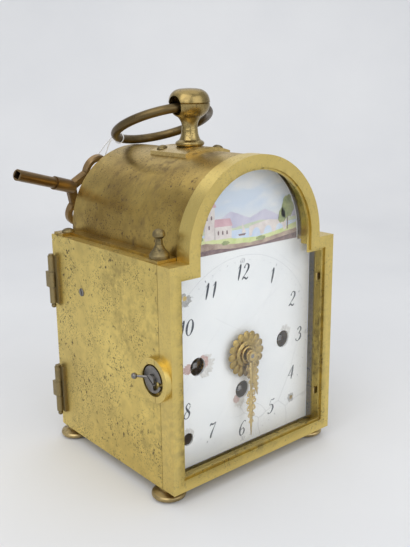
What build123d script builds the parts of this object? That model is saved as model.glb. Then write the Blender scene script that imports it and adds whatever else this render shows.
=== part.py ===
"""Brass travel clock with an arched top, a glazed front door, a carrying ring and a winding key.

Millimetres, +Z up. The dial faces -Y and +X is to the right of someone reading it.
The origin is on the table, in the middle of the case's width and depth.
"""

import math
import os

from build123d import *

os.makedirs("parts", exist_ok=True)

# Case
case_width = 87.0
case_depth = 82.6
body_height = 88.0
foot_height = 5.0
arch_radius = 34.6
arch_rise = 1.7
sheet = 1.6
base_thickness = 1.8
seam_gap = 0.2
shoulder_opening_width = 64.4
shoulder_opening_rear = 6.0

# Vault, the arched cover
vault_step = 0.6
vault_sheet = 1.2
flange_width = 5.0
flange_thickness = 1.2
ear_length = 7.0
ear_reach = 0.4
lunette_thickness = 1.4

# Front door
bezel_depth = 7.2
bezel_face_width = 4.9
bezel_step = 0.9
bezel_step_depth = 0.8
bezel_front_wall = 1.7
bezel_skirt_wall = 3.2
door_foot_gap = 0.2
glass_thickness = 1.3
glass_clearance = 0.15
clip_size = 3.0
clip_thickness = 0.8

# Rear door
door_thickness = 1.6
door_gap = 0.1
door_edge_gap = 0.25
rear_rail_height = 2.4
button_pivot_inset = 9.0
button_height = 48.7
button_shaft_radius = 1.2
button_head_radius = 3.4
button_head_height = 3.6
tongue_length = 6.6
tongue_width = 3.0
tongue_thickness = 1.2
tongue_gap = 0.3
lip_width = 3.4
lip_height = 12.0
lip_thickness = 1.4

# Hinges
hinge_heights = (73.5, 23.0)
hinge_length = 21.0
hinge_barrel_radius = 1.5
hinge_barrel_gap = 0.3
hinge_pin_radius = 0.8
hinge_pin_clearance = 0.05
hinge_pin_ball_radius = 1.1
hinge_leaf_width = 5.0
hinge_leaf_thickness = 1.2
hinge_knuckle_gap = 0.15
rivet_radius = 0.8
rivet_height = 0.4

# Latch on the left side, across the seam of the front door
latch_height = 49.7
latch_ring_radius = 8.6
latch_recess_radius = 6.2
latch_ring_behind_seam = 1.5
latch_pivot_behind_seam = 2.2
latch_floor = 0.6
latch_rim_height = 1.7
lever_radius = 5.2
lever_thickness = 1.2
lever_clearance = 0.1
stud_radius = 0.7
stud_ahead_of_seam = 0.95
stud_drop = 0.8
slot_clearance = 0.2
lever_turn = 50.0
thumb_reach = 7.4
thumb_stem_radius = 0.5
thumb_ball_radius = 1.2
latch_screw_radius = 1.0
latch_screw_head_radius = 2.1
latch_screw_head_height = 0.9

# Screw that holds the movement's bracket to the left side
side_screw_y = 18.6
side_screw_z = 71.8
side_screw_radius = 1.7

# Feet and the screws of the cover
foot_radius = 6.8
foot_side_inset = 4.2
foot_front_inset = 9.0
foot_rear_inset = 4.6
foot_stub_radius = 1.5
finial_height = 10.6
finial_base_radius = 3.7
finial_cap_radius = 2.35
cover_screw_radius = 1.1
cover_screw_inset = 4.6
cover_screw_end_inset = 4.4
dome_screw_radius = 2.7
dome_screw_height = 1.5

# Handle
plate_side = 23.4
plate_thickness = 1.5
plate_clearance = 0.02
post_base_radius = 6.0
post_base_height = 2.4
post_waist_radius = 3.4
knob_radius = 8.5
knob_height = 12.0
knob_centre_height = 18.6
ring_hole_radius = 3.9
ring_hole_drop = 0.8
ring_radius = 20.5
ring_wire_radius = 1.9
ring_rest_clearance = 0.3
tenon_radius = 2.0
tenon_length = 6.0
plate_screw_offset = 8.0
plate_screw_head_radius = 2.3
plate_screw_head_height = 1.2
plate_screw_shank_radius = 0.9

# Winding key, hung on a thread behind the vault
key_place = (-31.3, 45.0, 111.9)
key_pipe_direction = (-0.930, -0.250, 0.266)
key_bow_direction = (0.331, -0.259, 0.907)
key_pipe_length = 30.0
key_pipe_radius = 2.35
key_collar_length = 9.5
key_collar_radius = 2.9
key_square = 3.0
key_square_depth = 11.0
bow_lobe_radius = 7.0
bow_lobe_hole_radius = 4.2
bow_lobe_back = 11.0
bow_lobe_across = 10.0
bow_stock = 3.0
bow_bar = 2.6
thread_radius = 0.25
thread_slack = 0.1
thread_tie_angle = 125.0

# Dial and hands
dial_recess = 9.6
dial_thickness = 0.8
dial_edge_inset = 4.0
dial_bottom_inset = 3.0
dial_arch_radius = 31.6
dial_centre_height = 43.7
winding_offset = 23.6
lower_winding_drop = 16.2
corner_winding_across = 29.0
corner_winding_drop = 28.8
winding_hole_radius = 3.7
corner_hole_radius = 2.6
centre_hole_radius = 3.0
dial_screw_radius = 1.0
dial_screw_across = 29.4
dial_screw_rise = 28.6
minute_hand_length = 35.0
hour_hand_length = 19.5
hand_thickness = 0.6
hand_hub_radius = 2.7
hour_pipe_radius = 2.3
cannon_radius = 1.5
pipe_clearance = 0.05
rosette_radius = 9.5
rosette_lobes = 16
minute_hand_turn = 180.0
hour_hand_turn = 165.0

# Movement frame
plate_width = 74.0
plate_height = 73.0
plate_bottom = 5.0
movement_plate_thickness = 2.0
front_plate_behind_dial = 6.0
plate_spacing = 38.0
pillar_radius = 2.4
pillar_inset = 4.6
bracket_thickness = 2.0
bracket_length = 24.0
bracket_height = 9.0
rest_offset = 26.0
alarm_barrel_gap = 12.0
alarm_barrel_length = 7.0

# Wheels
addendum_share = 0.72
dedendum_share = 1.05
tooth_share = 0.36
tip_share = 0.20
arbor_radius = 0.9
pivot_radius = 0.5
pivot_clearance = 0.04
wheel_thickness = 1.2
winding_arbor_radius = 1.5
winding_square = 2.6
barrel_teeth = 54
barrel_drum_radius = 15.2
barrel_length = 13.0
centre_pinion_teeth = 22
centre_wheel_teeth = 60
centre_wheel_module = 0.46
third_pinion_teeth = 8
third_wheel_teeth = 56
third_wheel_module = 0.42
escape_pinion_teeth = 8
escape_wheel_radius = 6.0
escape_wheel_teeth = 15
cannon_teeth = 12
minute_wheel_teeth = 36
minute_pinion_teeth = 10
hour_wheel_teeth = 40
motion_module = 0.5
balance_radius = 8.6
balance_width = 1.5
bell_radius = 23.0
bell_depth = 11.0
bell_wall = 1.1
hammer_gap = 0.5

half_width = case_width / 2
front_y = -case_depth / 2
rear_y = case_depth / 2
seam_y = front_y + bezel_depth
case_front_y = seam_y + seam_gap
case_rear_y = rear_y - door_thickness - door_gap
floor_z = foot_height
shoulder_z = foot_height + body_height
arch_z = shoulder_z + arch_rise
vault_radius = arch_radius - vault_step
crown_z = arch_z + vault_radius
dial_y = front_y + dial_recess
centre_z = floor_z + dial_centre_height


finished = {}


def save(part, name):
    part.label = name
    finished[name] = part
    print(name, round(part.volume, 1), len(part.solids()))


def across(y):
    """Plane facing the reader at depth y: local x is +X, local y is +Z, and extrude goes towards -Y."""
    return Plane(origin=(0, y, 0), x_dir=(1, 0, 0), z_dir=(0, -1, 0))


def flat(z, x=0.0, y=0.0):
    return Plane(origin=(x, y, z), x_dir=(1, 0, 0), z_dir=(0, 0, 1))


def shouldered_arch(width, bottom, shoulder, radius, centre):
    """Closed outline of a square body with a round arch standing on its shoulders."""
    Polyline(
        (-radius, centre),
        (-radius, shoulder),
        (-width / 2, shoulder),
        (-width / 2, bottom),
        (width / 2, bottom),
        (width / 2, shoulder),
        (radius, shoulder),
        (radius, centre),
    )
    ThreePointArc((radius, centre), (0, centre + radius), (-radius, centre))


def plate_screw_planes(radius):
    """Planes square to the vault at the two screws of the post plate, at this radius from its axis."""
    planes = []
    for x, y in ((-plate_screw_offset, plate_screw_offset), (plate_screw_offset, -plate_screw_offset)):
        lean = math.asin(x / vault_radius)
        outward = (math.sin(lean), 0, math.cos(lean))
        origin = (radius * outward[0], y, arch_z + radius * outward[2])
        planes.append(Plane(origin=origin, x_dir=(outward[2], 0, -outward[0]), z_dir=outward))
    return planes


# Case plates
door_front_y = rear_y - door_thickness
tongue_rear_y = door_front_y - tongue_gap
tongue_front_y = tongue_rear_y - tongue_thickness
lip_rear_y = tongue_front_y - 0.2
side_length = case_rear_y - case_front_y
side_middle = (case_rear_y + case_front_y) / 2
latch_pivot_y = seam_y + latch_pivot_behind_seam
latch_ring_y = seam_y + latch_ring_behind_seam

with BuildPart() as left_side:
    with Locations((-half_width + sheet / 2, side_middle, floor_z + body_height / 2)):
        Box(sheet, side_length, body_height)
    with Locations(Plane(origin=(-half_width, latch_pivot_y, latch_height), z_dir=(-1, 0, 0))):
        Hole(latch_screw_radius, depth=sheet)
    with Locations(Plane(origin=(-half_width, side_screw_y, side_screw_z), z_dir=(-1, 0, 0))):
        Hole(side_screw_radius, depth=sheet)
save(left_side.part, "left_side_plate")

with BuildPart() as right_side:
    with Locations((half_width - sheet / 2, side_middle, floor_z + body_height / 2)):
        Box(sheet, side_length, body_height)
    # Catch for the button of the rear door
    with Locations((half_width - sheet - lip_width / 2, lip_rear_y - lip_thickness / 2, button_height)):
        Box(lip_width, lip_thickness, lip_height)
    with Locations((half_width - sheet - 0.7, lip_rear_y - 2.5, button_height)):
        Box(1.4, 5.0, lip_height)
save(right_side.part, "right_side_plate")

foot_places = [
    (side * (half_width - foot_side_inset), y)
    for side in (-1, 1)
    for y in (front_y + foot_front_inset, rear_y - foot_rear_inset)
]
with BuildPart() as base:
    with Locations((0, side_middle, floor_z + base_thickness / 2)):
        Box(case_width - 2 * sheet, side_length, base_thickness)
    with Locations(*[(x, y, floor_z + base_thickness) for x, y in foot_places]):
        Hole(foot_stub_radius, depth=base_thickness)
save(base.part, "base_plate")

cover_screw_x = half_width - cover_screw_inset
cover_screw_front_y = case_front_y + cover_screw_end_inset
cover_screw_rear_y = case_rear_y - cover_screw_end_inset
cover_screws = [
    (side * cover_screw_x, y)
    for side in (-1, 1)
    for y in (cover_screw_front_y, cover_screw_rear_y)
]
opening_front_y = case_front_y - 1.0
opening_rear_y = case_rear_y - shoulder_opening_rear
with BuildPart() as shoulder:
    with Locations((0, side_middle, shoulder_z - sheet / 2)):
        Box(case_width - 2 * sheet, side_length, sheet)
    with Locations((0, (opening_front_y + opening_rear_y) / 2, shoulder_z - sheet / 2)):
        Box(shoulder_opening_width, opening_rear_y - opening_front_y, sheet, mode=Mode.SUBTRACT)
    with Locations(*[(x, y, shoulder_z) for x, y in cover_screws]):
        Hole(cover_screw_radius, depth=sheet)
save(shoulder.part, "shoulder_plate")

# Vault cover: a bent sheet with a flange along each shoulder and an ear at each end of it
with BuildPart() as vault:
    with BuildSketch(across(case_rear_y)):
        with BuildLine():
            Polyline(
                (-vault_radius, arch_z),
                (-vault_radius, shoulder_z + flange_thickness),
                (-vault_radius - flange_width, shoulder_z + flange_thickness),
                (-vault_radius - flange_width, shoulder_z),
                (-vault_radius + vault_sheet, shoulder_z),
                (-vault_radius + vault_sheet, arch_z),
            )
            ThreePointArc(
                (-vault_radius + vault_sheet, arch_z),
                (0, crown_z - vault_sheet),
                (vault_radius - vault_sheet, arch_z),
            )
            Polyline(
                (vault_radius - vault_sheet, arch_z),
                (vault_radius - vault_sheet, shoulder_z),
                (vault_radius + flange_width, shoulder_z),
                (vault_radius + flange_width, shoulder_z + flange_thickness),
                (vault_radius, shoulder_z + flange_thickness),
                (vault_radius, arch_z),
            )
            ThreePointArc((vault_radius, arch_z), (0, crown_z), (-vault_radius, arch_z))
        make_face()
    extrude(amount=side_length)
    ear_width = half_width - ear_reach - vault_radius
    ear_middle = vault_radius + ear_width / 2
    for side in (-1, 1):
        for y in (case_front_y + ear_length / 2, case_rear_y - ear_length / 2):
            with Locations((side * ear_middle, y, shoulder_z + flange_thickness / 2)):
                Box(ear_width, ear_length, flange_thickness)
    with Locations(*[(x, y, shoulder_z + flange_thickness) for x, y in cover_screws]):
        Hole(cover_screw_radius, depth=flange_thickness)
    with Locations((0, 0, crown_z + 1.0)):
        Hole(tenon_radius, depth=4.0)
    for place in plate_screw_planes(vault_radius + 0.5):
        with Locations(place):
            Hole(plate_screw_shank_radius, depth=3.0)
save(vault.part, "vault_cover")

with BuildPart() as lunette:
    with BuildSketch(across(case_rear_y)):
        inner_radius = vault_radius - vault_sheet
        with BuildLine():
            Polyline(
                (-inner_radius, arch_z),
                (-inner_radius, shoulder_z),
                (inner_radius, shoulder_z),
                (inner_radius, arch_z),
            )
            ThreePointArc((inner_radius, arch_z), (0, arch_z + inner_radius), (-inner_radius, arch_z))
        make_face()
    extrude(amount=lunette_thickness)
save(lunette.part, "rear_lunette")

# Feet
with BuildPart() as feet:
    for x, y in foot_places:
        with BuildSketch(Plane(origin=(x, y, 0), x_dir=(1, 0, 0), z_dir=(0, -1, 0))):
            with BuildLine():
                Polyline(
                    (0, foot_height + base_thickness),
                    (0, 0),
                    (foot_radius * 0.62, 0),
                    (foot_radius * 0.84, foot_height * 0.12),
                )
                ThreePointArc(
                    (foot_radius * 0.84, foot_height * 0.12),
                    (foot_radius, foot_height * 0.34),
                    (foot_radius * 0.88, foot_height * 0.56),
                )
                Polyline(
                    (foot_radius * 0.88, foot_height * 0.56),
                    (foot_radius * 0.55, foot_height * 0.72),
                    (foot_radius * 0.55, foot_height),
                    (foot_stub_radius, foot_height),
                    (foot_stub_radius, foot_height + base_thickness),
                    (0, foot_height + base_thickness),
                )
            make_face()
        revolve(axis=Axis((x, y, 0), (0, 0, 1)))
save(feet.part, "feet")

# Screws that hold the vault down: turned finials in front, domed heads at the rear
finial_z = shoulder_z + flange_thickness
shank_length = flange_thickness + sheet
with BuildPart() as finials:
    for side in (-1, 1):
        x = side * cover_screw_x
        with BuildSketch(Plane(origin=(x, cover_screw_front_y, finial_z), x_dir=(1, 0, 0), z_dir=(0, -1, 0))):
            with BuildLine():
                Polyline(
                    (0, -shank_length),
                    (cover_screw_radius, -shank_length),
                    (cover_screw_radius, 0),
                    (finial_base_radius, 0),
                    (finial_base_radius, finial_height * 0.10),
                    (finial_base_radius * 0.86, finial_height * 0.20),
                )
                Spline(
                    (finial_base_radius * 0.86, finial_height * 0.20),
                    (finial_base_radius * 0.62, finial_height * 0.30),
                    (finial_base_radius * 0.38, finial_height * 0.46),
                )
                Polyline(
                    (finial_base_radius * 0.38, finial_height * 0.46),
                    (finial_base_radius * 0.34, finial_height * 0.66),
                    (finial_cap_radius, finial_height * 0.76),
                )
                Spline(
                    (finial_cap_radius, finial_height * 0.76),
                    (finial_cap_radius * 0.78, finial_height * 0.93),
                    (0, finial_height),
                )
                Line((0, finial_height), (0, -shank_length))
            make_face()
        revolve(axis=Axis((x, cover_screw_front_y, 0), (0, 0, 1)))
save(finials.part, "cover_finials")

with BuildPart() as dome_screws:
    for side in (-1, 1):
        x = side * cover_screw_x
        with BuildSketch(Plane(origin=(x, cover_screw_rear_y, finial_z), x_dir=(1, 0, 0), z_dir=(0, -1, 0))):
            with BuildLine():
                Polyline(
                    (0, dome_screw_height),
                    (0, -shank_length),
                    (cover_screw_radius, -shank_length),
                    (cover_screw_radius, 0),
                    (dome_screw_radius, 0),
                    (dome_screw_radius, 0.3),
                )
                Spline(
                    (dome_screw_radius, 0.3),
                    (dome_screw_radius * 0.62, dome_screw_height * 0.82),
                    (0, dome_screw_height),
                )
            make_face()
        revolve(axis=Axis((x, cover_screw_rear_y, 0), (0, 0, 1)))
save(dome_screws.part, "cover_rear_screws")

# Handle post on its bent square plate
plate_bottom_radius = vault_radius + plate_clearance
plate_top_z = arch_z + plate_bottom_radius + plate_thickness
with BuildPart() as post_plate:
    with BuildSketch(across(plate_side / 2)):
        with BuildLine():
            low = plate_bottom_radius
            high = plate_bottom_radius + plate_thickness
            half = plate_side / 2
            low_z = arch_z + math.sqrt(low**2 - half**2)
            high_z = arch_z + math.sqrt(high**2 - half**2)
            ThreePointArc((-half, low_z), (0, arch_z + low), (half, low_z))
            Line((half, low_z), (half, high_z))
            ThreePointArc((half, high_z), (0, arch_z + high), (-half, high_z))
            Line((-half, high_z), (-half, low_z))
        make_face()
    extrude(amount=plate_side)
    with Locations((0, 0, plate_top_z)):
        Hole(tenon_radius, depth=plate_thickness + 1.0)
    for place in plate_screw_planes(plate_bottom_radius + plate_thickness + 0.5):
        with Locations(place):
            Hole(plate_screw_shank_radius, depth=plate_thickness + 1.0)
save(post_plate.part, "post_plate")

knob_z = crown_z + knob_centre_height
ring_hole_z = knob_z - ring_hole_drop
knob_bottom = knob_z - knob_height / 2
knob_top = knob_z + knob_height / 2
with BuildPart() as post:
    with BuildSketch(Plane.XZ):
        with BuildLine():
            Polyline(
                (0, plate_top_z - tenon_length),
                (tenon_radius, plate_top_z - tenon_length),
                (tenon_radius, plate_top_z),
                (post_base_radius * 0.92, plate_top_z),
            )
            Spline(
                (post_base_radius * 0.92, plate_top_z),
                (post_base_radius, plate_top_z + post_base_height * 0.4),
                (post_base_radius * 0.88, plate_top_z + post_base_height * 0.8),
            )
            Polyline(
                (post_base_radius * 0.88, plate_top_z + post_base_height * 0.8),
                (post_base_radius * 0.74, plate_top_z + post_base_height),
            )
            Spline(
                (post_base_radius * 0.74, plate_top_z + post_base_height),
                (post_waist_radius + 0.25, plate_top_z + post_base_height + 2.0),
                (post_waist_radius, (plate_top_z + knob_bottom) / 2 + 1.0),
            )
            Spline(
                (post_waist_radius, (plate_top_z + knob_bottom) / 2 + 1.0),
                (post_waist_radius + 0.3, knob_bottom - 1.2),
                (post_waist_radius + 1.4, knob_bottom + 0.4),
            )
            Spline(
                (post_waist_radius + 1.4, knob_bottom + 0.4),
                (knob_radius * 0.86, knob_z - knob_height * 0.3),
                (knob_radius, knob_z - 0.3),
            )
            Polyline(
                (knob_radius, knob_z - 0.3),
                (knob_radius - 0.35, knob_z),
                (knob_radius, knob_z + 0.3),
            )
            Spline(
                (knob_radius, knob_z + 0.3),
                (knob_radius * 0.8, knob_z + knob_height * 0.37),
                (knob_radius * 0.35, knob_top - 0.15),
            )
            Spline(
                (knob_radius * 0.35, knob_top - 0.15),
                (knob_radius * 0.18, knob_top - 0.03),
                (0, knob_top),
            )
            Line((0, knob_top), (0, plate_top_z - tenon_length))
        make_face()
    revolve(axis=Axis.Z)
    with BuildSketch(Plane(origin=(-knob_radius - 1, 0, ring_hole_z), z_dir=(1, 0, 0))):
        Circle(ring_hole_radius)
    extrude(amount=2 * knob_radius + 2, mode=Mode.SUBTRACT)
save(post.part, "handle_post")

screw_seat = plate_bottom_radius + plate_thickness
screw_reach = plate_thickness + vault_sheet + 0.8
with BuildPart() as plate_screws:
    for place in plate_screw_planes(screw_seat):
        with BuildSketch(Plane(origin=place.origin, x_dir=(0, 1, 0), z_dir=place.x_dir)):
            with BuildLine():
                Polyline(
                    (0, plate_screw_head_height),
                    (0, -screw_reach),
                    (plate_screw_shank_radius, -screw_reach),
                    (plate_screw_shank_radius, 0.1),
                    (plate_screw_head_radius, 0.1),
                )
                Spline(
                    (plate_screw_head_radius, 0.1),
                    (plate_screw_head_radius * 0.66, plate_screw_head_height * 0.72),
                    (0, plate_screw_head_height),
                )
            make_face()
        revolve(axis=Axis(place.origin, place.z_dir))
save(plate_screws.part, "post_plate_screws")

# Carrying ring, lying back on the crown of the vault
ring_axis_y = -0.5
ring_top_z = ring_hole_z - 0.5
ring_drop = ring_top_z - (crown_z + ring_wire_radius + ring_rest_clearance)
ring_tilt = math.asin(ring_drop / (2 * ring_radius))
ring_back = (0, math.cos(ring_tilt), -math.sin(ring_tilt))
ring_normal = (0, math.sin(ring_tilt), math.cos(ring_tilt))
ring_centre = tuple(
    start + ring_radius * step for start, step in zip((0, ring_axis_y, ring_top_z), ring_back)
)
with BuildPart() as ring:
    with BuildSketch(Plane(origin=ring_centre, x_dir=(1, 0, 0), z_dir=ring_back)):
        with Locations((ring_radius, 0)):
            Circle(ring_wire_radius)
    revolve(axis=Axis(ring_centre, ring_normal))
save(ring.part, "carrying_ring")

# Front door: a stepped frame, its glass and the clips behind the glass
def door_layer(y_low, y_high, inset):
    """Frame of the front door between two depths, open inside this inset."""
    with BuildSketch(across(y_high)) as frame:
        with BuildLine():
            shouldered_arch(case_width, floor_z + door_foot_gap, shoulder_z, arch_radius, arch_z)
        make_face()
        with BuildLine():
            shouldered_arch(
                case_width - 2 * inset, floor_z + inset, shoulder_z - inset, arch_radius - inset, arch_z
            )
        make_face(mode=Mode.SUBTRACT)
    extrude(frame.sketch, amount=y_high - y_low)


glass_front_y = front_y + bezel_front_wall + 0.02
glass_rear_y = glass_front_y + glass_thickness
clip_places = [
    (-half_width + bezel_skirt_wall, floor_z + 18.0),
    (-half_width + bezel_skirt_wall, floor_z + 70.0),
    (half_width - bezel_skirt_wall, floor_z + 18.0),
    (half_width - bezel_skirt_wall, floor_z + 70.0),
]
with BuildPart() as bezel:
    door_layer(front_y, front_y + bezel_step_depth, bezel_face_width)
    door_layer(front_y + bezel_step_depth, front_y + bezel_front_wall, bezel_face_width + bezel_step)
    door_layer(front_y + bezel_front_wall, seam_y, bezel_skirt_wall)
save(bezel.part, "front_door_frame")

with BuildPart() as glass:
    with BuildSketch(across(glass_rear_y)):
        inset = bezel_skirt_wall + glass_clearance
        with BuildLine():
            shouldered_arch(
                case_width - 2 * inset, floor_z + inset, shoulder_z - inset, arch_radius - inset, arch_z
            )
        make_face()
    extrude(amount=glass_thickness)
save(glass.part, "front_door_glass")

with BuildPart() as clips:
    for x, z in clip_places:
        inward = -math.copysign(1, x)
        with Locations((x + inward * clip_size / 2, glass_rear_y + 0.02 + clip_thickness / 2, z)):
            Box(clip_size, clip_thickness, clip_size)
save(clips.part, "glass_clips")


# Rear door, hung at the left, with the rail above it
door_bottom_z = floor_z + door_foot_gap
door_top_z = shoulder_z - rear_rail_height - door_edge_gap
button_x = half_width - button_pivot_inset
with BuildPart() as rear_door:
    with BuildSketch(across(rear_y)):
        with Locations((0, (door_bottom_z + door_top_z) / 2)):
            Rectangle(case_width, door_top_z - door_bottom_z)
        with Locations((button_x, button_height)):
            Circle(button_shaft_radius + hinge_pin_clearance, mode=Mode.SUBTRACT)
    extrude(amount=door_thickness)
save(rear_door.part, "rear_door")

with BuildPart() as rear_rail:
    with Locations((0, (case_rear_y + rear_y) / 2, shoulder_z - rear_rail_height / 2)):
        Box(case_width, rear_y - case_rear_y, rear_rail_height)
save(rear_rail.part, "rear_rail")

with BuildPart() as button:
    with BuildSketch(Plane(origin=(button_x, 0, button_height), x_dir=(1, 0, 0), z_dir=(0, 0, 1))):
        with BuildLine():
            head_y = rear_y + 0.15
            top_y = head_y + button_head_height
            Polyline(
                (0, tongue_front_y),
                (button_shaft_radius, tongue_front_y),
                (button_shaft_radius, head_y),
                (button_head_radius * 0.6, head_y),
                (button_head_radius * 0.6, head_y + 0.8),
                (button_head_radius, head_y + 1.4),
            )
            Spline(
                (button_head_radius, head_y + 1.4),
                (button_head_radius * 0.8, top_y - 0.6),
                (0, top_y),
            )
            Line((0, top_y), (0, tongue_front_y))
        make_face()
    revolve(axis=Axis((button_x, 0, button_height), (0, 1, 0)))
    with BuildSketch(across(tongue_rear_y)):
        with Locations((button_x, button_height + (tongue_length - tongue_width) / 2)):
            Rectangle(tongue_width, tongue_length)
    extrude(amount=tongue_thickness)
save(button.part, "rear_door_button")


# Hinges
def hinge_knuckle(x, y, z_low, z_high, bore):
    """Barrel of a hinge on a vertical axis between two heights."""
    with BuildSketch(flat(z_low, x, y)) as barrel:
        Circle(hinge_barrel_radius)
        Circle(bore, mode=Mode.SUBTRACT)
    extrude(barrel.sketch, amount=z_high - z_low)


def knuckle_spans(middle):
    """Heights of the three knuckles around one hinge's middle."""
    step = hinge_length / 3
    low = middle - hinge_length / 2
    gap = hinge_knuckle_gap / 2
    return [
        (low, low + step - gap),
        (low + step + gap, low + 2 * step - gap),
        (low + 2 * step + gap, low + hinge_length),
    ]


def leaf_slab(x_low, x_high, y_low, y_high, z_low, z_high):
    with Locations(((x_low + x_high) / 2, (y_low + y_high) / 2, (z_low + z_high) / 2)):
        Box(x_high - x_low, y_high - y_low, z_high - z_low)


def rivet_row(x, y, z_middles, outward):
    """Low rivet heads in a column on a leaf, facing along the outward direction."""
    for middle in z_middles:
        for shift in (-hinge_length * 0.36, 0, hinge_length * 0.36):
            with BuildSketch(Plane(origin=(x, y, middle + shift), z_dir=outward)) as head:
                Circle(rivet_radius)
            extrude(head.sketch, amount=rivet_height, taper=25)


front_hinge_x = half_width + hinge_barrel_gap + hinge_barrel_radius
front_hinge_y = seam_y + seam_gap / 2
rear_hinge_x = -front_hinge_x
rear_hinge_y = (door_front_y + case_rear_y) / 2
bore = hinge_pin_radius + hinge_pin_clearance
leaf_clear = hinge_barrel_radius + hinge_barrel_gap
with BuildPart() as case_leaf:
    for middle in hinge_heights:
        low, centre, high = knuckle_spans(middle)
        for z_low, z_high in (low, high):
            hinge_knuckle(front_hinge_x, front_hinge_y, z_low, z_high, hinge_pin_radius)
            leaf_slab(
                half_width,
                half_width + hinge_leaf_thickness,
                front_hinge_y + hinge_pin_radius,
                front_hinge_y + leaf_clear + hinge_leaf_width,
                z_low,
                z_high,
            )
        leaf_slab(
            half_width,
            half_width + hinge_leaf_thickness,
            front_hinge_y + leaf_clear,
            front_hinge_y + leaf_clear + hinge_leaf_width,
            low[0],
            high[1],
        )
    for middle in hinge_heights:
        low, centre, high = knuckle_spans(middle)
        for z_low, z_high in (low, high):
            hinge_knuckle(rear_hinge_x, rear_hinge_y, z_low, z_high, hinge_pin_radius)
            leaf_slab(
                -half_width - hinge_leaf_thickness,
                -half_width,
                rear_hinge_y - leaf_clear - 1.6,
                rear_hinge_y - hinge_pin_radius,
                z_low,
                z_high,
            )
        leaf_slab(
            -half_width - hinge_leaf_thickness,
            -half_width,
            rear_hinge_y - leaf_clear - 1.6,
            rear_hinge_y - leaf_clear,
            low[0],
            high[1],
        )
    rivet_y = front_hinge_y + leaf_clear + 2.6
    rivet_row(half_width + hinge_leaf_thickness, rivet_y, hinge_heights, (1, 0, 0))
save(case_leaf.part, "case_hinge_leaves")

with BuildPart() as front_door_leaf:
    for middle in hinge_heights:
        low, centre, high = knuckle_spans(middle)
        hinge_knuckle(front_hinge_x, front_hinge_y, centre[0], centre[1], bore)
        leaf_slab(
            half_width,
            half_width + hinge_leaf_thickness,
            front_hinge_y - leaf_clear - hinge_leaf_width + 1.0,
            front_hinge_y - bore,
            centre[0],
            centre[1],
        )
        leaf_slab(
            half_width,
            half_width + hinge_leaf_thickness,
            front_hinge_y - leaf_clear - hinge_leaf_width + 1.0,
            front_hinge_y - leaf_clear,
            low[0],
            high[1],
        )
save(front_door_leaf.part, "front_hinge_door_leaves")

rear_leaf_y = rear_y + hinge_leaf_thickness
with BuildPart() as rear_door_leaf:
    for middle in hinge_heights:
        low, centre, high = knuckle_spans(middle)
        hinge_knuckle(rear_hinge_x, rear_hinge_y, centre[0], centre[1], bore)
        leaf_slab(
            rear_hinge_x - hinge_barrel_radius,
            -half_width,
            rear_y,
            rear_leaf_y,
            centre[0],
            centre[1],
        )
        leaf_slab(
            rear_hinge_x - hinge_barrel_radius,
            rear_hinge_x - bore,
            rear_hinge_y,
            rear_y,
            centre[0],
            centre[1],
        )
        leaf_slab(
            -half_width,
            -half_width + hinge_leaf_width,
            rear_y,
            rear_leaf_y,
            low[0],
            high[1],
        )
    rivet_row(-half_width + 2.8, rear_leaf_y, hinge_heights, (0, 1, 0))
save(rear_door_leaf.part, "rear_hinge_door_leaves")


with BuildPart() as hinge_pins:
    for x, y in ((front_hinge_x, front_hinge_y), (rear_hinge_x, rear_hinge_y)):
        for middle in hinge_heights:
            z_low = middle - hinge_length / 2
            with BuildSketch(flat(z_low - 0.6, x, y)):
                Circle(hinge_pin_radius)
            extrude(amount=hinge_length + 0.6)
            with BuildSketch(flat(z_low + hinge_length, x, y)):
                Circle(hinge_pin_ball_radius)
            extrude(amount=0.7)
            with Locations((x, y, z_low - 0.6 - hinge_pin_ball_radius * 0.5)):
                Sphere(hinge_pin_ball_radius)
save(hinge_pins.part, "hinge_pins")


# Latch of the front door, on the left side across the seam
def side(x):
    """Plane square to X: local x is +Y, local y is +Z, and extrude goes towards +X."""
    return Plane(origin=(x, 0, 0), x_dir=(0, 1, 0), z_dir=(1, 0, 0))


latch_floor_x = -half_width - latch_floor
latch_rim_x = latch_floor_x - latch_rim_height
stud_y = seam_y - stud_ahead_of_seam
stud_z = latch_height - stud_drop
lever_inner_x = latch_floor_x - lever_clearance
lever_outer_x = lever_inner_x - lever_thickness


def latch_ring(y_low, y_high):
    """Piece of the round latch mount that lies between two depths."""
    with BuildSketch(side(latch_floor_x)) as floor:
        with Locations((latch_ring_y, latch_height)):
            Circle(latch_ring_radius)
        with Locations(((y_low + y_high) / 2, latch_height)):
            Rectangle(y_high - y_low, 4 * latch_ring_radius, mode=Mode.INTERSECT)
    extrude(floor.sketch, amount=latch_floor)
    with BuildSketch(side(latch_rim_x)) as rim:
        with Locations((latch_ring_y, latch_height)):
            Circle(latch_ring_radius)
            Circle(latch_recess_radius, mode=Mode.SUBTRACT)
        with Locations(((y_low + y_high) / 2, latch_height)):
            Rectangle(y_high - y_low, 4 * latch_ring_radius, mode=Mode.INTERSECT)
    extrude(rim.sketch, amount=latch_rim_height)


with BuildPart() as latch_mount:
    latch_ring(case_front_y, case_front_y + 3 * latch_ring_radius)
    with BuildSketch(side(latch_floor_x - 0.5)):
        with Locations((latch_pivot_y, latch_height)):
            Circle(latch_screw_radius)
    extrude(amount=latch_floor + 0.5, mode=Mode.SUBTRACT)
save(latch_mount.part, "latch_mount")

with BuildPart() as keeper:
    latch_ring(seam_y - 3 * latch_ring_radius, seam_y)
    with BuildSketch(side(lever_outer_x + 0.1)):
        with Locations((stud_y, stud_z)):
            Circle(stud_radius)
    extrude(amount=latch_floor_x - lever_outer_x)
save(keeper.part, "latch_keeper")

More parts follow.
